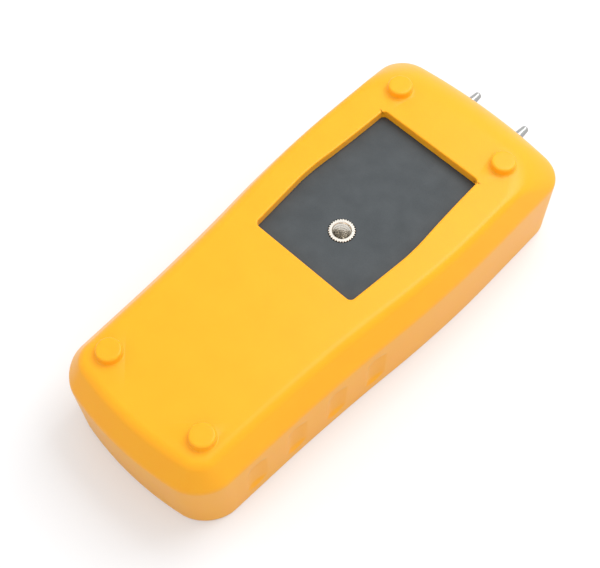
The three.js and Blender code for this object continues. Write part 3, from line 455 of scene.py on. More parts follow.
# %% Finger scallops
SCALLOP_PITCH = 16
FIRST_SCALLOP_Y = TAIL_Y + 23.4
SCALLOP_YS = [FIRST_SCALLOP_Y + SCALLOP_PITCH * k for k in range(4)]
SCALLOP_HALF = 2.8
SCALLOP_DEPTH = 0.8
SCALLOP_FADE = 1.7
SCALLOP_LOW, SCALLOP_HIGH = 5, 21.4
print("scallops on a side:", len(SCALLOP_YS))


def scallop_depth(y, z):
    """How deep the nearest scallop's round-ended scoop is at this place on the side wall."""
    nearest = min(SCALLOP_YS, key=lambda middle: abs(middle - y))
    beyond = max(0, SCALLOP_LOW + SCALLOP_HALF - z, z - (SCALLOP_HIGH - SCALLOP_HALF))
    # The scoop starts crisply on the tail side and fades out towards the nose.
    along = (y - nearest) / (SCALLOP_HALF * (SCALLOP_FADE if y > nearest else 1))
    away = math.hypot(along, beyond / SCALLOP_HALF)
    return SCALLOP_DEPTH * max(0, 1 - away * away)


# %% Heights of the rings
# Rings stand closer where the section bends more: at the rim, the shoulder and the edge of the back.
rim_heights = [RIM_ROUND * (1 - math.cos(k * math.pi / 12)) for k in range(7)]
wall_heights = [RIM_ROUND + 0.55 * k for k in range(1, 42)]
shoulder_heights = [SHOULDER_Z + 0.3 * k for k in range(-5, 6)]
slope_drops = [BODY_DEPTH - SHOULDER_Z - 1.8 - 0.62 * k for k in range(8)]
edge_drops = [2.6, 2.28, 1.85, 1.47, 1.25, 1.02, 0.85, 0.66, 0.5, 0.37, 0.26, 0.165, 0.1,
              0.041, 0.01, 0]
back_heights = [BODY_DEPTH - drop for drop in slope_drops + edge_drops]
outer_heights = [z for z in wall_heights if z < shoulder_heights[0] - 0.2]
outer_heights += shoulder_heights + back_heights
print("rings in the outer skin:", len(rim_heights) + len(outer_heights))


# %% The boot's skins
def rim_inset(z):
    return RIM_ROUND - math.sqrt(max(0, RIM_ROUND ** 2 - (RIM_ROUND - z) ** 2))


def scalloped(ring):
    made = []
    for point in ring:
        deep = scallop_depth(point.y, point.z)
        made.append(point - Vector((math.copysign(deep, point.x), 0, 0)))
    return made


LIP_INSET = WALL + LIP_OVERLAP
FLAT_BORDER = (0.4, 1.2)
inside_top = BODY_DEPTH - WALL
inner_heights = [LIP_THICKNESS, 12, SHOULDER_Z - 1.5, 27, 28.5, 30, 31, 31.6,
                 inside_top - 0.1, inside_top]
rings = [body_ring(z, WALL) for z in reversed(inner_heights)]
LIP_STEPS = ((LIP_THICKNESS, 0), (LIP_EDGE, 0), (0.3 * LIP_EDGE, 0.3 * LIP_EDGE), (0, LIP_EDGE))
for z, drawn_out in LIP_STEPS:
    rings.append(at_height(body_ring(0, LIP_INSET - drawn_out), z))
rings += [body_ring(z, 0, rim_inset(z)) for z in rim_heights]
rings += [scalloped(body_ring(z)) for z in outer_heights]
rings += [body_ring(BODY_DEPTH, 0, inset) for inset in FLAT_BORDER]
boot = skin_over(rings, "boot")
print("boot skin:", len(boot.data.polygons), "faces")

# %% [markdown]
# ## Window and feet
# The window in the back is a long hexagon with softly cut corners, so that a tripod plate reaches the
# case. Its edge has a small round where the mould parted. The window's wall is its own little skin,
# and one fill closes the flat between it and the outer edge. The four feet are short round studs with
# a fillet at the root and a round at the top. They stand partly on the soft nose edge, so they are
# made as solids that follow the back's height, and a boolean joins them on.

# %% Outlines with rounded corners
def rounded_outline(corners, radii, steps=6):
    """Straight sides through the corners. Each corner is a curve that starts its radius before it."""
    made = []
    count = len(corners)
    for k, (corner, radius) in enumerate(zip(corners, radii)):
        knee = Vector(corner)
        before = Vector(corners[k - 1])
        after = Vector(corners[(k + 1) % count])
        start = knee + (before - knee).normalized() * radius
        end = knee + (after - knee).normalized() * radius
        made += bezier_corner(start, knee, end, steps)
    return made


def grown(outline, grow):
    """The outline moved outwards by grow, square to its own run. The outline turns anticlockwise."""
    count = len(outline)
    made = []
    for k, point in enumerate(outline):
        along = (outline[(k + 1) % count] - outline[k - 1]).normalized()
        made.append(point + Vector((along.y, -along.x)) * grow)
    return made


# %% The window's wall
WINDOW_LOW_Y = TAIL_Y + 75
WINDOW_HIGH_Y = WINDOW_LOW_Y + 57.7
KINK_Y = WINDOW_LOW_Y + 25
WAIST_Y = WINDOW_HIGH_Y - 12.7
WINDOW_RIGHT = [(19.3, WINDOW_LOW_Y), (21.25, KINK_Y), (19.6, WAIST_Y), (19.3, WINDOW_HIGH_Y)]
WINDOW_CORNERS = WINDOW_RIGHT + [(-x, y) for x, y in reversed(WINDOW_RIGHT)]
WINDOW_RADII = [1.5, 5, 12, 1.5, 1.5, 12, 5, 1.5]
WINDOW_EDGE = 0.45

window = rounded_outline(WINDOW_CORNERS, WINDOW_RADII)
edge_angles = [k * math.pi / 10 for k in range(6)]
window_rings = [at_height(grown(window, WINDOW_EDGE + border), BODY_DEPTH)
                for border in (0.8, 0.3)]
window_rings += [at_height(grown(window, WINDOW_EDGE * (1 - math.sin(angle))),
                          BODY_DEPTH - WINDOW_EDGE * (1 - math.cos(angle))) for angle in edge_angles]
window_rings += [at_height(window, z) for z in (34, 33.2, 32.4, inside_top)]
window_wall = skin_over(window_rings, "window_wall")
print("window:", round(WINDOW_HIGH_Y - WINDOW_LOW_Y, 1), "mm long")

# %% Fill the back, inside and out
def join_pieces(pieces):
    """Joins the pieces into the first one."""
    deselect()
    for piece in pieces:
        piece.select_set(True)
    bpy.context.view_layer.objects.active = pieces[0]
    if len(pieces) > 1:
        bpy.ops.object.join()
    return pieces[0]


join_pieces([boot, window_wall])


def fill_level(piece, z):
    """Fills the flat that lies between all the open edges at height z, in millimetres."""
    edit(piece)
    bpy.ops.mesh.select_mode(type="EDGE")
    bpy.ops.mesh.select_all(action="DESELECT")
    bpy.ops.mesh.select_non_manifold(extend=False)
    shape = bmesh.from_edit_mesh(piece.data)
    for edge in shape.edges:
        if edge.select and any(abs(vertex.co.z - z * MM) > 0.01 * MM for vertex in edge.verts):
            edge.select_set(False)
    bmesh.update_edit_mesh(piece.data)
    bpy.ops.mesh.fill(use_beauty=True)
    bpy.ops.object.mode_set(mode="OBJECT")


for level_z in (BODY_DEPTH, inside_top):
    fill_level(boot, level_z)
print("boot with its back filled:", len(boot.data.polygons), "faces")


# %% Closing up
def open_edges(piece):
    shape = bmesh.new()
    shape.from_mesh(piece.data)
    count = sum(1 for edge in shape.edges if not edge.is_manifold)
    shape.free()
    return count


def close_up(piece, smooth_angle=40):
    """Welds doubles, turns every face outwards, and shades the piece smooth below the angle."""
    edit(piece)
    bpy.ops.mesh.select_all(action="SELECT")
    bpy.ops.mesh.remove_doubles(threshold=WELD)
    bpy.ops.mesh.normals_make_consistent(inside=False)
    bpy.ops.object.mode_set(mode="OBJECT")
    bpy.ops.object.shade_smooth_by_angle(angle=math.radians(smooth_angle))
    print(piece.name, len(piece.data.polygons), "faces,", open_edges(piece), "open edges")


close_up(boot)

# %% Four feet
FOOT_RADIUS = 3.9
FOOT_HEIGHT = 2.6
FOOT_FILLET = 0.6
FOOT_ROUND = 0.75
FOOT_ROOT = 1.0
FOOT_STEPS = 56
NOSE_FOOT, TAIL_FOOT = (21, NOSE_Y - 18.9), (18.8, TAIL_Y + 15.8)
FOOT_PLACES = [(side * x, y) for side in (-1, 1) for x, y in (NOSE_FOOT, TAIL_FOOT)]


def back_height(x, y):
    """The height of the back at a place, which falls away over the soft edge of the nose."""
    flat_end = NOSE_Y - slope_inset(BODY_DEPTH, 0, NOSE_EDGE) - sag(x, NOSE_BOW)
    beyond = max(0, y - flat_end)
    return BODY_DEPTH - NOSE_EDGE + math.sqrt(NOSE_EDGE ** 2 - beyond ** 2)


def foot_ring(x, y, radius, above_back=None, z=None):
    """A ring round a foot's axis, at a height above the back there, or at a level z."""
    made = []
    for k in range(FOOT_STEPS):
        turn = 2 * math.pi * k / FOOT_STEPS
        px, py = x + radius * math.cos(turn), y + radius * math.sin(turn)
        made.append(Vector((px, py, back_height(px, py) + above_back if z is None else z)))
    return made


def foot_rings(x, y):
    """From a root under the back, up the fillet and the side, and over the round onto the top."""
    top = BODY_DEPTH + FOOT_HEIGHT
    made = [foot_ring(x, y, radius, -FOOT_ROOT)
            for radius in (0, FOOT_RADIUS, FOOT_RADIUS + FOOT_FILLET)]
    for turn in [math.radians(angle) for angle in (12, 25, 38, 51, 64, 77, 90)]:
        flare = FOOT_FILLET * (1 - math.sin(turn))
        made.append(foot_ring(x, y, FOOT_RADIUS + flare, FOOT_FILLET * (0.95 - math.cos(turn))))
    for turn in [k * math.pi / 12 for k in range(7)]:
        made.append(foot_ring(x, y, FOOT_RADIUS - FOOT_ROUND * (1 - math.cos(turn)),
                              z=top - FOOT_ROUND * (1 - math.sin(turn))))
    return made + [foot_ring(x, y, radius, z=top) for radius in (2.2, 1.1, 0)]


# %% Joining solids
def combine(piece, other, operation):
    """Joins the other solid to the piece, or cuts it out, and throws the other away."""
    deselect()
    bpy.context.view_layer.objects.active = piece
    piece.select_set(True)
    change = piece.modifiers.new("combine", "BOOLEAN")
    change.object = other
    change.operation = operation
    change.solver = "EXACT"
    bpy.ops.object.modifier_apply(modifier=change.name)
    bpy.data.objects.remove(other)


# %% Put the feet on the boot
feet = join_pieces([skin_over(foot_rings(x, y), "feet") for x, y in FOOT_PLACES])
close_up(feet)
combine(boot, feet, "UNION")
close_up(boot)

# %% [markdown]
# ## Opening for the electrode block
# The nose wall is pierced by a rounded opening that the electrode block fills. A cutter is made from
# a cube, its four long edges are bevelled round, and a boolean takes it out of the wall.

# %% Cut the nose opening
FIT = 0.3
BLOCK_HALF_WIDTH = 15.7
BLOCK_HALF_HEIGHT = 5.7
BLOCK_CORNER = 3.7
PIN_Z = 13.9


def bevel_edges(piece, wanted, width, steps):
    """Bevels the edges whose two ends the function wanted agrees to. The width is in millimetres."""
    edit(piece)
    bpy.ops.mesh.select_mode(type="EDGE")
    bpy.ops.mesh.select_all(action="DESELECT")
    shape = bmesh.from_edit_mesh(piece.data)
    for edge in shape.edges:
        edge.select_set(wanted(*[vertex.co / MM for vertex in edge.verts]))
    bmesh.update_edit_mesh(piece.data)
    bpy.ops.mesh.bevel(offset=width * MM, segments=steps, affect="EDGES")
    bpy.ops.object.mode_set(mode="OBJECT")


def rounded_bar(name, half_x, half_z, low_y, high_y, corner, steps=6):
    """A bar along Y, made from a cube with its four long edges bevelled round. Millimetres."""
    deselect()
    bpy.ops.mesh.primitive_cube_add(size=1)
    made = bpy.context.object
    made.name = name
    made.scale = (2 * half_x * MM, (high_y - low_y) * MM, 2 * half_z * MM)
    made.location = (0, (low_y + high_y) / 2 * MM, PIN_Z * MM)
    bpy.ops.object.transform_apply(location=True, rotation=False, scale=True)
    half_way = 0.5 * (high_y - low_y)
    bevel_edges(made, lambda first, second: abs(first.y - second.y) > half_way, corner, steps)
    return made


cutter = rounded_bar("nose_cutter", BLOCK_HALF_WIDTH + FIT, BLOCK_HALF_HEIGHT + FIT,
                     NOSE_Y - 7, NOSE_Y + 5, BLOCK_CORNER + FIT)
combine(boot, cutter, "DIFFERENCE")
close_up(boot)

# %% Rubber goes on, and the boot rides on the housing
boot.data.materials.append(boot_rubber)
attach(boot, "housing")
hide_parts("protective_boot")

# %% [markdown]
# ## Moulded plastics
# Every plastic part here comes from a polished or spark-eroded mould. What the eye reads is a fine
# grain in the gloss and a very slight cloudiness in the colour, so one recipe with a grain size and a
# relief, both in millimetres, serves them all, and each finish states its own values.

# %% Plastic recipe
def moulded(name, dark, light, roughness, grain, relief, cloud=6, **sockets):
    """Plastic between two colours. The grain and its relief are in millimetres."""
    made, tree, place = start_material(name)
    fine = add_node(tree, "ShaderNodeTexNoise", {
        "Vector": place, "Scale": 1 / (grain * MM), "Detail": 3.0, "Roughness": 0.65})
    broad = add_node(tree, "ShaderNodeTexNoise", {
        "Vector": place, "Scale": 1 / (cloud * MM), "Detail": 2.0, "Roughness": 0.5})
    both = add_node(tree, "ShaderNodeMath", {0: (fine, "Fac"), 1: (broad, "Fac")}, operation="ADD")
    tint = add_node(tree, "ShaderNodeMapRange", {
        "Value": (both, 0), "From Min": 0.7, "From Max": 1.3})
    colour = add_node(tree, "ShaderNodeMix", {
        0: (tint, "Result"), 6: linear(dark), 7: linear(light)}, data_type="RGBA")
    shine = add_node(tree, "ShaderNodeMapRange", {
        "Value": (both, 0), "From Min": 0.7, "From Max": 1.3,
        "To Min": roughness + 0.05, "To Max": roughness - 0.05})
    bump = add_node(tree, "ShaderNodeBump", {
        "Height": (fine, "Fac"), "Strength": 0.5, "Distance": relief * MM})
    finish_material(tree, add_node(tree, "ShaderNodeBsdfPrincipled", {
        "Base Color": (colour, 2), "Roughness": (shine, "Result"), "Normal": (bump, "Normal"),
        **sockets}))
    return made


# %% Plastic finishes
# ABS from a spark-eroded mould: slate grey, dead matt, a grain of about a quarter of a millimetre.
case_abs = moulded("spark_eroded_slate_abs", "#404548", "#484d50", 0.62, 0.28, 0.03,
                   **{"Specular IOR Level": 0.35})
# Glass-filled nylon round the electrodes: near black and slightly waxy.
block_nylon = moulded("moulded_black_nylon", "#202123", "#2a2b2e", 0.48, 0.4, 0.02, IOR=1.53)
# Silicone keys: soft charcoal, with a broad weak shine.
key_silicone = moulded("moulded_charcoal_silicone", "#34383b", "#3c4043", 0.5, 0.18, 0.012, IOR=1.43)
# White ABS and acetal inside: the display frame, its light guide and the key plungers.
frame_abs = moulded("moulded_white_abs", "#dcdcd6", "#e8e8e3", 0.45, 0.5, 0.01)
plunger_acetal = moulded("moulded_white_acetal", "#e4e4e0", "#efefec", 0.35, 0.6, 0.006, IOR=1.48)
light_guide = moulded("cast_white_acrylic", "#eceeee", "#f6f7f7", 0.3, 0.8, 0.004, IOR=1.49)
# Small black moulded parts: switches, the buzzer and the battery snap.
switch_nylon = moulded("moulded_black_pbt", "#1a1b1c", "#242526", 0.42, 0.3, 0.012)
chip_epoxy = moulded("moulded_black_epoxy", "#17181a", "#222325", 0.55, 0.12, 0.01)
# Lead insulation: soft, faintly glossy vinyl.
red_vinyl = moulded("extruded_red_vinyl", "#a91d18", "#b8261f", 0.38, 0.5, 0.006)
black_vinyl = moulded("extruded_black_vinyl", "#161718", "#202122", 0.38, 0.5, 0.006)
white_vinyl = moulded("extruded_white_vinyl", "#dedfdc", "#ebebe8", 0.38, 0.5, 0.006)
# Rubbery strips and pads: a case seal, and an open foam under the battery door.
seal_rubber = moulded("moulded_black_silicone_seal", "#232425", "#2c2d2e", 0.6, 0.3, 0.015, IOR=1.43)
cell_foam = moulded("open_cell_grey_foam", "#28292a", "#3a3b3c", 0.95, 0.6, 0.25)
print("materials so far:", len(bpy.data.materials))

# %% [markdown]
# ## Metals
# Plated and turned metal is bright, but never evenly so. The plating bath leaves slow changes in
# gloss, and the lathe leaves rings too fine to see singly, which blur a reflection along the turning.
# The recipe mixes a fine noise, stretched along the piece, into roughness and relief.

# %% Metal recipe
def plated(name, dark, light, roughness, along=(1, 1, 1), grain=0.5, relief=0.004):
    """Metal between two colours. The noise is drawn out along an axis by a smaller scale there."""
    made, tree, place = start_material(name)
    drawn = add_node(tree, "ShaderNodeMapping", {"Vector": place, "Scale": along})
    fine = add_node(tree, "ShaderNodeTexNoise", {
        "Vector": (drawn, "Vector"), "Scale": 1 / (grain * MM), "Detail": 3.0, "Roughness": 0.6})
    tint = add_node(tree, "ShaderNodeMapRange", {
        "Value": (fine, "Fac"), "From Min": 0.3, "From Max": 0.7})
    colour = add_node(tree, "ShaderNodeMix", {
        0: (tint, "Result"), 6: linear(dark), 7: linear(light)}, data_type="RGBA")
    shine = add_node(tree, "ShaderNodeMapRange", {
        "Value": (fine, "Fac"), "From Min": 0.3, "From Max": 0.7,
        "To Min": roughness + 0.06, "To Max": roughness - 0.04})
    bump = add_node(tree, "ShaderNodeBump", {
        "Height": (fine, "Fac"), "Strength": 0.3, "Distance": relief * MM})
    finish_material(tree, add_node(tree, "ShaderNodeBsdfPrincipled", {
        "Base Color": (colour, 2), "Metallic": 1.0, "Roughness": (shine, "Result"),
        "Normal": (bump, "Normal")}))
    return made


# %% Metal finishes
# Bright nickel on brass: warm white, nearly a mirror.
nickel_plate = plated("bright_nickel_plate", "#d9d3c8", "#e6e1d8", 0.2, grain=0.7)
# Turned stainless pins: cooler and greyer, their gloss drawn out round the pin.
pin_steel = plated("turned_stainless_steel", "#a9aaa8", "#bcbdba", 0.28, along=(1, 6, 1), grain=0.6)
# Nickel on the sockets, duller from handling.
socket_plate = plated("satin_nickel_on_brass", "#bdb39a", "#cbc2aa", 0.32, along=(1, 6, 1), grain=0.6)
# Zinc plated screws.
screw_zinc = plated("zinc_plated_steel", "#b9bcbe", "#cdd0d2", 0.34, grain=0.4)
print("materials so far:", len(bpy.data.materials))

# %% [markdown]
# ## Tripod insert
# A threaded bush for a quarter-inch tripod screw is pressed into the case. Its outside is knurled so
# that the plastic grips it, its end is a flat bright ring with a small chamfer at the mouth, and a
# thread of 20 turns to the inch runs down the bore. A screw modifier could cut the thread, but the
# same rolled grid does the knurl, the chamfer and the thread in one closed skin: each ring is level,
# and the radius along it follows the tooth or the turn of the thread.

# %% Insert sizes
insert_low, insert_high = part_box("tripod_insert")
INSERT_Y = (insert_low.y + insert_high.y) / 2 / MM
INSERT_TOP = insert_high.z / MM
INSERT_FOOT = insert_low.z / MM
INSERT_RADIUS = 4.2
KNURL_TEETH = 30
KNURL_DEPTH = 0.42
KNURL_CHAMFER = 0.1
MOUTH_RADIUS, MOUTH_CHAMFER, MOUTH_FOOT_RADIUS = 3.0, 0.06, 2.8
LEAD_IN_RADIUS, LEAD_IN_SLOPE = 2.75, 0.2
THREAD_PITCH = 1.27
THREAD_ROOT, THREAD_CREST = 3.12, 2.62
THREAD_TOP = INSERT_TOP - 0.5
THREAD_LOW = INSERT_TOP - 8.1
THREAD_STEPS = 130
RING_POINTS = 240
print("insert:", round(2 * INSERT_RADIUS, 2), "mm across its teeth")


# %% Insert rings
def insert_ring(z, radius_at):
    made = []
    for k in range(RING_POINTS):
        turn = 2 * math.pi * k / RING_POINTS
        radius = radius_at(turn)
        made.append(Vector((radius * math.cos(turn), INSERT_Y + radius * math.sin(turn), z)))
    return made


def knurl(turn, inset=0):
    tooth = abs((turn * KNURL_TEETH / (2 * math.pi)) % 1 - 0.5) * 2
    return INSERT_RADIUS - inset - KNURL_DEPTH * tooth ** 1.4


def thread(turn, z):
    """A 60 degree thread with a small flat on its crest and its root."""
    share = (z / THREAD_PITCH - turn / (2 * math.pi)) % 1
    flank = min(1, max(0, (abs(share - 0.5) * 2 - 0.12) / 0.72))
    return THREAD_CREST + (THREAD_ROOT - THREAD_CREST) * flank


def round_ring(z, radius):
    return insert_ring(z, lambda turn: radius)


def knurl_end(turn):
    return knurl(turn, KNURL_CHAMFER)


def threaded(z):
    """A ring of the thread. A lead-in cone takes the crest off its first turns."""
    lead_in = LEAD_IN_RADIUS - LEAD_IN_SLOPE * (THREAD_TOP - z)
    return insert_ring(z, lambda turn: max(lead_in, thread(turn, z)))


# %% The insert's skin
knurl_low = INSERT_FOOT + KNURL_CHAMFER
knurl_span = INSERT_TOP - INSERT_FOOT - 2 * KNURL_CHAMFER
insert_rings = [round_ring(INSERT_FOOT, 0), round_ring(INSERT_FOOT, 3.5),
                insert_ring(INSERT_FOOT, knurl_end)]
insert_rings += [insert_ring(knurl_low + knurl_span * k / 8, knurl) for k in range(9)]
insert_rings.append(insert_ring(INSERT_TOP, knurl_end))
insert_rings += [round_ring(INSERT_TOP, MOUTH_RADIUS + MOUTH_CHAMFER),
                 round_ring(INSERT_TOP - MOUTH_CHAMFER, MOUTH_RADIUS),
                 round_ring(THREAD_TOP + 0.1, MOUTH_FOOT_RADIUS)]
insert_rings += [threaded(THREAD_TOP - (THREAD_TOP - THREAD_LOW) * step / THREAD_STEPS)
                 for step in range(THREAD_STEPS + 1)]
insert_rings += [round_ring(THREAD_LOW - 0.1, THREAD_CREST), round_ring(THREAD_LOW - 0.4, 2.4),
                 round_ring(THREAD_LOW - 0.5, 1.2), round_ring(THREAD_LOW - 0.5, 0)]
tripod_bush = skin_over(insert_rings, "tripod_bush")
close_up(tripod_bush, 30)
tripod_bush.data.materials.append(nickel_plate)
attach(tripod_bush, "housing")
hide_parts("tripod_insert")

# %% [markdown]
# ## Electrode pins and their sockets
# Two hard steel pins screw into plated sockets, so that a bent pin can be changed. Both are turned on
# a lathe, and spin is the lathe of edit mode: one profile, drawn as a line of vertices, goes once
# round the axis.

# %% Lathe helper
def turned(profile, x, name, steps=48):
    """Spins a profile of (radius, y) in millimetres round the axis along Y through x and PIN_Z."""
    made = bpy.data.objects.new(name, bpy.data.meshes.new(name))
    bpy.context.scene.collection.objects.link(made)
    made.data.from_pydata([Vector((x + radius, y, PIN_Z)) * MM for radius, y in profile],
                          [(k, k + 1) for k in range(len(profile) - 1)], [])
    edit(made)
    bpy.ops.mesh.select_all(action="SELECT")
    bpy.ops.mesh.spin(steps=steps, angle=2 * math.pi, center=Vector((x, 0, PIN_Z)) * MM,
                      axis=(0, 1, 0))
    bpy.ops.object.mode_set(mode="OBJECT")
    close_up(made, 35)
    return made


# %% Turn the pins and sockets
SOCKET_TIP = NOSE_Y + 0.6
PIN_TIP = cad_high.y / MM
# Each pair is a radius and a distance from the socket's tip, outwards along the pin.
PIN_PROFILE = ((0, -9), (1.2, -9), (1.3, -8.8), (1.3, 0.3), (1.62, 0.3), (1.75, 0.45), (1.75, 4.5),
               (1.68, 4.9))
SOCKET_PROFILE = ((2.6, -0.3), (2.5, -0.08), (2.3, 0), (1.75, 0), (1.6, -0.15), (1.6, -9.3), (0, -9.3))
DOME_RADIUS, DOME_HEIGHT = 1.22, 0.9


def from_tip(profile):
    return [(radius, SOCKET_TIP + along) for radius, along in profile]


dome = [(DOME_RADIUS * math.cos(k * math.pi / 12),
         PIN_TIP - DOME_HEIGHT * (1 - math.sin(k * math.pi / 12))) for k in range(6)]
for word in ("left", "right"):
    socket_low, socket_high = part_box(f"pin_socket_{word}")
    pin_x = (socket_low.x + socket_high.x) / 2 / MM
    socket_foot = socket_low.y / MM
    pin = turned([*from_tip(PIN_PROFILE), *dome, (0, PIN_TIP)], pin_x, f"steel_pin_{word}")
    pin.data.materials.append(pin_steel)
    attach(pin, "housing")
    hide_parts(f"electrode_pin_{word}")
    socket = turned([(0, socket_foot), (2.45, socket_foot), (2.6, socket_foot + 0.15),
                     *from_tip(SOCKET_PROFILE)], pin_x, f"plated_socket_{word}")
    socket.data.materials.append(socket_plate)
    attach(socket, "housing")
    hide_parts(f"pin_socket_{word}")

# %% [markdown]
# ## Electrode block
# A black nylon block insulates the two sockets from each other and fills the opening in the nose. It
# starts as the same rounded bar that cut the opening, a little smaller. Its front edges are bevelled,
# and two bores take the sockets.

# %% Electrode block
FLANGE_HALF_WIDTH, FLANGE_HALF_HEIGHT = 17.7, 7.7
FLANGE_THICKNESS = 4
FLANGE_CORNER = 1.5
FRONT_BEVEL = 0.4
BORE_X, BORE_RADIUS = 10.1, 2.75

block_low, block_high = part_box("nose_block")
BLOCK_FRONT, BLOCK_BACK = block_high.y / MM, block_low.y / MM
electrode_block = rounded_bar("electrode_block", BLOCK_HALF_WIDTH, BLOCK_HALF_HEIGHT,
                              BLOCK_BACK, BLOCK_FRONT, BLOCK_CORNER)
bevel_edges(electrode_block, lambda *ends: all(end.y > BLOCK_FRONT - 0.1 for end in ends),
            FRONT_BEVEL, 3)
flange = rounded_bar("electrode_flange", FLANGE_HALF_WIDTH, FLANGE_HALF_HEIGHT,
                     BLOCK_BACK, BLOCK_BACK + FLANGE_THICKNESS, FLANGE_CORNER, 3)
combine(electrode_block, flange, "UNION")
bore_profile = [(0, BLOCK_BACK - 1), (BORE_RADIUS, BLOCK_BACK - 1),
                (BORE_RADIUS, BLOCK_FRONT + 1), (0, BLOCK_FRONT + 1)]
for side in (-1, 1):
    combine(electrode_block, turned(bore_profile, side * BORE_X, "socket_bore"), "DIFFERENCE")
close_up(electrode_block, 35)
electrode_block.data.materials.append(block_nylon)
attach(electrode_block, "housing")
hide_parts("nose_block")

# %% [markdown]
# ## Keys
# Four silicone keys look through the face film: three pills in a row and a round one. Each is a low
# dome with a soft edge, a straight wall and a flange that keeps it behind the face plate. The rolled
# grid makes it from one outline that shrinks towards the pill's own middle line. Each key carries a
# plain printed sign, a thin inlay that rides with it.

# %% Key shapes
KEY_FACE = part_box("hold_key")[0].z / MM
KEY_FLANGE_LOW, KEY_FLANGE_HIGH = 5.2, 6.0
KEY_FLANGE_REACH = 1
KEY_WALL_LEVELS = (2.4, 2.05)
KEY_DOME = 0.12
KEY_EDGE_WIDTH, KEY_EDGE_FALL = 0.4, 0.5


def moved(outline, x, y):
    return [Vector((point.x + x, point.y + y)) for point in outline]


def pill_outline(half_length, radius, count=24):
    """A stadium: two half circles joined by straight sides. Half length 0 is a circle."""
    made = []
    for side, start in ((1, -math.pi / 2), (-1, math.pi / 2)):
        for k in range(count + 1):
            turn = start + math.pi * k / count
            made.append(Vector((side * half_length + radius * math.cos(turn),
                                radius * math.sin(turn))))
    return made


def key_cap(name, x, y, half_length, radius):
    """The keys face down, so the skin runs from the flange to the face as the height falls."""
    wide = radius + KEY_FLANGE_REACH
    levels = [(wide, KEY_FLANGE_HIGH), (wide, KEY_FLANGE_LOW), (radius, KEY_FLANGE_LOW)]
    levels += [(radius, z) for z in KEY_WALL_LEVELS]
    for turn in [k * math.pi / 10 for k in range(1, 6)]:
        levels.append((radius - KEY_EDGE_WIDTH * (1 - math.cos(turn)),
                       KEY_FACE + KEY_DOME + KEY_EDGE_FALL * (1 - math.sin(turn))))
    levels += [(radius - 1.1, KEY_FACE + 0.05), (radius - 2.0, KEY_FACE)]
    rings = [at_height(moved(pill_outline(half_length, r), x, y), z) for r, z in levels]
    ends = [at_height(moved(pill_outline(half_length, 0), x, y), z)
            for z in (KEY_FLANGE_HIGH, KEY_FACE)]
    made = skin_over([ends[0], *rings, ends[1]], name)
    close_up(made, 50)
    return made


# %% Key signs
# Opaque white ink, printed thin.
sign_ink = moulded("printed_white_ink", "#d9dcdc", "#e6e8e8", 0.5, 0.3, 0.004)


def arrow_outline(x, y, direction, size=1.5):
    corners = [(x - size, y - direction * size * 0.6), (x + size, y - direction * size * 0.6),
               (x, y + direction * size)]
    return rounded_outline(corners if direction > 0 else corners[::-1], [0.3] * 3, 4)


def bar_outline(x, y, half_x, half_y):
    corners = [(x - half_x, y - half_y), (x + half_x, y - half_y), (x + half_x, y + half_y),
               (x - half_x, y + half_y)]
    return rounded_outline(corners, [min(half_x, half_y) * 0.6] * 4, 3)


def arc_outline(x, y, radius, width, gap):
    """A ring that is open at the top, out along its outside and back along its inside."""
    steps = 28
    turns = [math.pi / 2 + gap + (2 * math.pi - 2 * gap) * k / steps for k in range(steps + 1)]
    outer, inner = [
        [Vector((x + reach * math.cos(turn), y + reach * math.sin(turn))) for turn in turns]
        for reach in (radius + width / 2, radius - width / 2)]
    return outer + inner[::-1]


def plate(outline, low, high, name):
    """A thin closed plate between two heights. Its two flats are filled."""
    made = skin_over([at_height(outline, low), at_height(outline, high)], name)
    edit(made)
    bpy.ops.mesh.select_mode(type="EDGE")
    bpy.ops.mesh.select_all(action="DESELECT")
    bpy.ops.mesh.select_non_manifold()
    bpy.ops.mesh.edge_face_add()
    bpy.ops.object.mode_set(mode="OBJECT")
    return made


# %% Make the keys and their signs
# Each key has half the length of its middle line, and its radius.
KEY_SIZES = {"down": (2, 3.5), "hold": (2, 3.5), "up": (2, 3.5), "power": (0, 5.6)}
PAUSE_SPREAD, PAUSE_BAR = 0.8, (0.32, 1.3)
POWER_ARC = (1.9, 0.5, math.radians(32))
POWER_BAR_RISE, POWER_BAR = 1.6, (0.25, 1.1)
SIGN_FACE, SIGN_FOOT = KEY_FACE - 0.03, KEY_FACE + 0.12


def sign_outlines(word, x, y):
    if word == "hold":
        return [bar_outline(x + side * PAUSE_SPREAD, y, *PAUSE_BAR) for side in (-1, 1)]
    if word == "power":
        return [arc_outline(x, y, *POWER_ARC), bar_outline(x, y + POWER_BAR_RISE, *POWER_BAR)]
    return [arrow_outline(x, y, 1 if word == "up" else -1)]


for word, (half_length, radius) in KEY_SIZES.items():
    low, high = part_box(f"{word}_key")
    x, y = (low.x + high.x) / 2 / MM, (low.y + high.y) / 2 / MM
    cap = key_cap(f"{word}_key_cap", x, y, half_length, radius)
    cap.data.materials.append(key_silicone)
    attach(cap, f"{word}_button")
    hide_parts(f"{word}_key")
    sign = join_pieces([plate(outline, SIGN_FACE, SIGN_FOOT, "sign")
                        for outline in sign_outlines(word, x, y)])
    sign.name = f"{word}_key_sign"
    close_up(sign, 30)
    sign.data.materials.append(sign_ink)
    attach(sign, f"{word}_button")

# %% [markdown]
# ## Display
# The display is a reflective liquid crystal panel behind a clear acrylic window. Switched off, it is
# a grey-green sheet in which the shapes of its digits can just be seen. Each digit is seven bars with
# pointed ends. One bar is drawn as an outline and raised to a thin plate, and its copies stand and
# lie where a digit needs them. A small square stands for the decimal point.

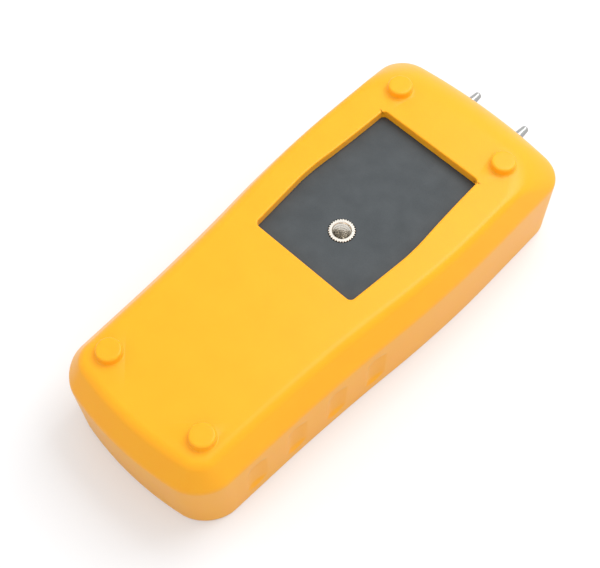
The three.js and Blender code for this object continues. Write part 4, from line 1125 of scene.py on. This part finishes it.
# %% Liquid crystal digits
lcd_segment_ink = moulded("liquid_crystal_segments", "#6d7864", "#74806b", 0.25, 0.4, 0.002)
glass_low, glass_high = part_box("lcd_glass")
DISPLAY_Y = (glass_low.y + glass_high.y) / 2 / MM
SEGMENT_FACE, SEGMENT_FOOT = glass_low.z / MM - 0.04, glass_low.z / MM + 0.02
DIGIT_XS = (-12, -1.5, 9)
DIGIT_HALF_WIDTH, DIGIT_HALF_HEIGHT = 3.4, 6.2
BAR_HALF = 0.55
BAR_GAP = 0.5
POINT_X, POINT_HALF = 14.4, 0.6


def segment(x, y, length, upright):
    """One bar with pointed ends, lying or standing, as a thin plate."""
    half = length / 2
    points = [(-half, 0), (-half + BAR_HALF, -BAR_HALF), (half - BAR_HALF, -BAR_HALF), (half, 0),
              (half - BAR_HALF, BAR_HALF), (-half + BAR_HALF, BAR_HALF)]
    outline = [Vector((x - b, y + a) if upright else (x + a, y + b)) for a, b in points]
    return plate(outline, SEGMENT_FACE, SEGMENT_FOOT, "segment")


segments = []
for digit_x in DIGIT_XS:
    for level_y in (-1, 0, 1):
        segments.append(segment(digit_x, DISPLAY_Y + level_y * DIGIT_HALF_HEIGHT,
                                2 * DIGIT_HALF_WIDTH - BAR_GAP, False))
    for side in (-1, 1):
        for level_y in (-0.5, 0.5):
            segments.append(segment(
                digit_x + side * DIGIT_HALF_WIDTH, DISPLAY_Y + level_y * DIGIT_HALF_HEIGHT,
                DIGIT_HALF_HEIGHT - BAR_GAP, True))
point = bar_outline(POINT_X, DISPLAY_Y - DIGIT_HALF_HEIGHT, POINT_HALF, POINT_HALF)
segments.append(plate(point, SEGMENT_FACE, SEGMENT_FOOT, "segment"))
lcd_digits = join_pieces(segments)
lcd_digits.name = "lcd_digits"
close_up(lcd_digits, 30)
lcd_digits.data.materials.append(lcd_segment_ink)
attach(lcd_digits, "housing")

# %% [markdown]
# ## Film, glass, window and circuit board
# These stay as CAD shapes, because they are flat sheets, and only need their finish. The face film is
# polyester with a fine velvet texture, printed charcoal, with a thin pale line round the display. The
# line follows the distance from a rounded rectangle, worked out in the material from object
# coordinates. The board is woven glass and epoxy under green lacquer, with tinned tracks.

# %% Face film
FILM_LINE_HALF_X, FILM_LINE_HALF_Y = 24.5, 19
FILM_LINE_CORNER = 3.5
FILM_LINE_HALF_THICKNESS = 0.22
FILM_GRAIN = 0.15

face_film, tree, place = start_material("printed_charcoal_polyester_film")
centre_display = add_node(tree, "ShaderNodeVectorMath", {
    0: place, 1: (0, DISPLAY_Y * MM, 0)}, operation="SUBTRACT")
fold = add_node(tree, "ShaderNodeVectorMath", {0: (centre_display, 0)}, operation="ABSOLUTE")
# The height plays no part: taking 1 m from it leaves it below nought, and the maximum drops it.
straight = ((FILM_LINE_HALF_X - FILM_LINE_CORNER) * MM, (FILM_LINE_HALF_Y - FILM_LINE_CORNER) * MM, 1)
beyond = add_node(tree, "ShaderNodeVectorMath", {0: (fold, 0), 1: straight}, operation="SUBTRACT")
outside = add_node(tree, "ShaderNodeVectorMath", {0: (beyond, 0), 1: (0, 0, 0)}, operation="MAXIMUM")
reach = add_node(tree, "ShaderNodeVectorMath", {0: (outside, 0)}, operation="LENGTH")
on_line = add_node(tree, "ShaderNodeMath", {
    0: (reach, "Value"), 1: FILM_LINE_CORNER * MM, 2: FILM_LINE_HALF_THICKNESS * MM},
    operation="COMPARE")
velvet = add_node(tree, "ShaderNodeTexNoise", {
    "Vector": place, "Scale": 1 / (FILM_GRAIN * MM), "Detail": 2.0})
print_colour = add_node(tree, "ShaderNodeMix", {
    0: (on_line, 0), 6: linear("#2b2e30"), 7: linear("#b9bdbe")}, data_type="RGBA")
film_shine = add_node(tree, "ShaderNodeMapRange", {
    "Value": (velvet, "Fac"), "To Min": 0.35, "To Max": 0.5})
film_bump = add_node(tree, "ShaderNodeBump", {
    "Height": (velvet, "Fac"), "Strength": 0.4, "Distance": 0.01 * MM})
finish_material(tree, add_node(tree, "ShaderNodeBsdfPrincipled", {
    "Base Color": (print_colour, 2), "Roughness": (film_shine, "Result"), "IOR": 1.57,
    "Normal": (film_bump, "Normal")}))

# %% Window, glass and board
# Cast acrylic: clear, glossy, with hairline wipe marks that show only in its shine.
window_acrylic, tree, place = start_material("cast_clear_acrylic")
wipe = add_node(tree, "ShaderNodeMapping", {
    "Vector": place, "Scale": (1, 8, 1), "Rotation": (0, 0, 0.4)})
wipes = add_node(tree, "ShaderNodeTexNoise", {
    "Vector": (wipe, "Vector"), "Scale": 1 / (3 * MM), "Detail": 4.0})
gloss = add_node(tree, "ShaderNodeMapRange", {
    "Value": (wipes, "Fac"), "To Min": 0.02, "To Max": 0.07})
finish_material(tree, add_node(tree, "ShaderNodeBsdfPrincipled", {
    "Base Color": linear("#f7faf9"), "Roughness": (gloss, "Result"), "IOR": 1.49,
    "Transmission Weight": 1.0}))

# The liquid crystal cell: soda glass over a grey-green polariser, smooth and glossy.
crystal_cell = moulded("grey_green_polariser_under_glass", "#8f9b84", "#98a48d", 0.16, 0.3, 0.001,
                       cloud=12)

# Woven glass and epoxy under green lacquer. The weave is 0.45 mm, and tracks run 1.3 mm apart.
board_lacquer, tree, place = start_material("lacquered_glass_epoxy_board")
weave = add_node(tree, "ShaderNodeTexWave", {
    "Vector": place, "Scale": 1 / (0.45 * MM) / 20, "Distortion": 1.5, "Detail": 1.0})
tracks = add_node(tree, "ShaderNodeTexBrick", {
    "Vector": place, "Color1": linear("#1c5a35"), "Color2": linear("#226a40"),
    "Mortar": linear("#2f7d4e"), "Scale": 1.0, "Mortar Size": 0.15 * MM, "Brick Width": 7 * MM, "Row Height": 1.3 * MM})
lacquer_bump = add_node(tree, "ShaderNodeBump", {
    "Height": (weave, "Fac"), "Strength": 0.3, "Distance": 0.01 * MM})
finish_material(tree, add_node(tree, "ShaderNodeBsdfPrincipled", {
    "Base Color": (tracks, "Color"), "Roughness": 0.32, "Normal": (lacquer_bump, "Normal")}))

# The battery is a steel can in a printed foil sleeve, dark with a copper-coloured end.
battery_sleeve, tree, place = start_material("foil_sleeved_steel_can")
axes = add_node(tree, "ShaderNodeSeparateXYZ", {"Vector": place})
end_band = add_node(tree, "ShaderNodeMath", {
    0: (axes, "Y"), 1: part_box("battery")[0].y + 12 * MM}, operation="LESS_THAN")
scuffs = add_node(tree, "ShaderNodeTexNoise", {"Vector": place, "Scale": 1 / (2 * MM), "Detail": 4.0})
sleeve = add_node(tree, "ShaderNodeMix", {
    0: (end_band, 0), 6: linear("#26282a"), 7: linear("#b0763f")}, data_type="RGBA")
sleeve_gloss = add_node(tree, "ShaderNodeMapRange", {
    "Value": (scuffs, "Fac"), "To Min": 0.25, "To Max": 0.42})
finish_material(tree, add_node(tree, "ShaderNodeBsdfPrincipled", {
    "Base Color": (sleeve, 2), "Roughness": (sleeve_gloss, "Result"), "Metallic": (end_band, 0)}))
print("materials in all:", len(bpy.data.materials))

# %% [markdown]
# ## Dress the CAD parts
# Everything else keeps its CAD shape: the case halves, the seal, the screws and all that is inside.
# Their finish goes into the material slot that each came with.

# %% Dress
KEYS = ("down", "hold", "up", "power")
FINISHES = {
    case_abs: ["front_case", "rear_case", "battery_door"],
    seal_rubber: ["case_seal", "zebra_strip_tail", "zebra_strip_nose"],
    screw_zinc: [f"{kind}_screw_{k}" for kind in ("case", "board") for k in (1, 2, 3, 4)],
    face_film: ["face_overlay"],
    window_acrylic: ["display_lens"],
    frame_abs: ["lcd_frame"],
    crystal_cell: ["lcd_glass"],
    light_guide: ["lcd_backlight"],
    board_lacquer: ["main_board"],
    chip_epoxy: ["controller_chip"],
    switch_nylon: ["buzzer", "battery_snap", *[f"{key}_switch" for key in KEYS]],
    plunger_acetal: [f"{key}_plunger" for key in KEYS],
    battery_sleeve: ["battery"],
    cell_foam: ["battery_foam"],
    red_vinyl: ["battery_lead_red", "pin_lead_right"],
    black_vinyl: ["battery_lead_black"],
    white_vinyl: ["pin_lead_left"],
}
dressed = 0
for finish, nodes in FINISHES.items():
    for node in nodes:
        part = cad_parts[node]
        if not part.material_slots:
            part.data.materials.append(finish)
        for slot in part.material_slots:
            slot.material = finish
        dressed += 1
print("CAD parts dressed:", dressed)
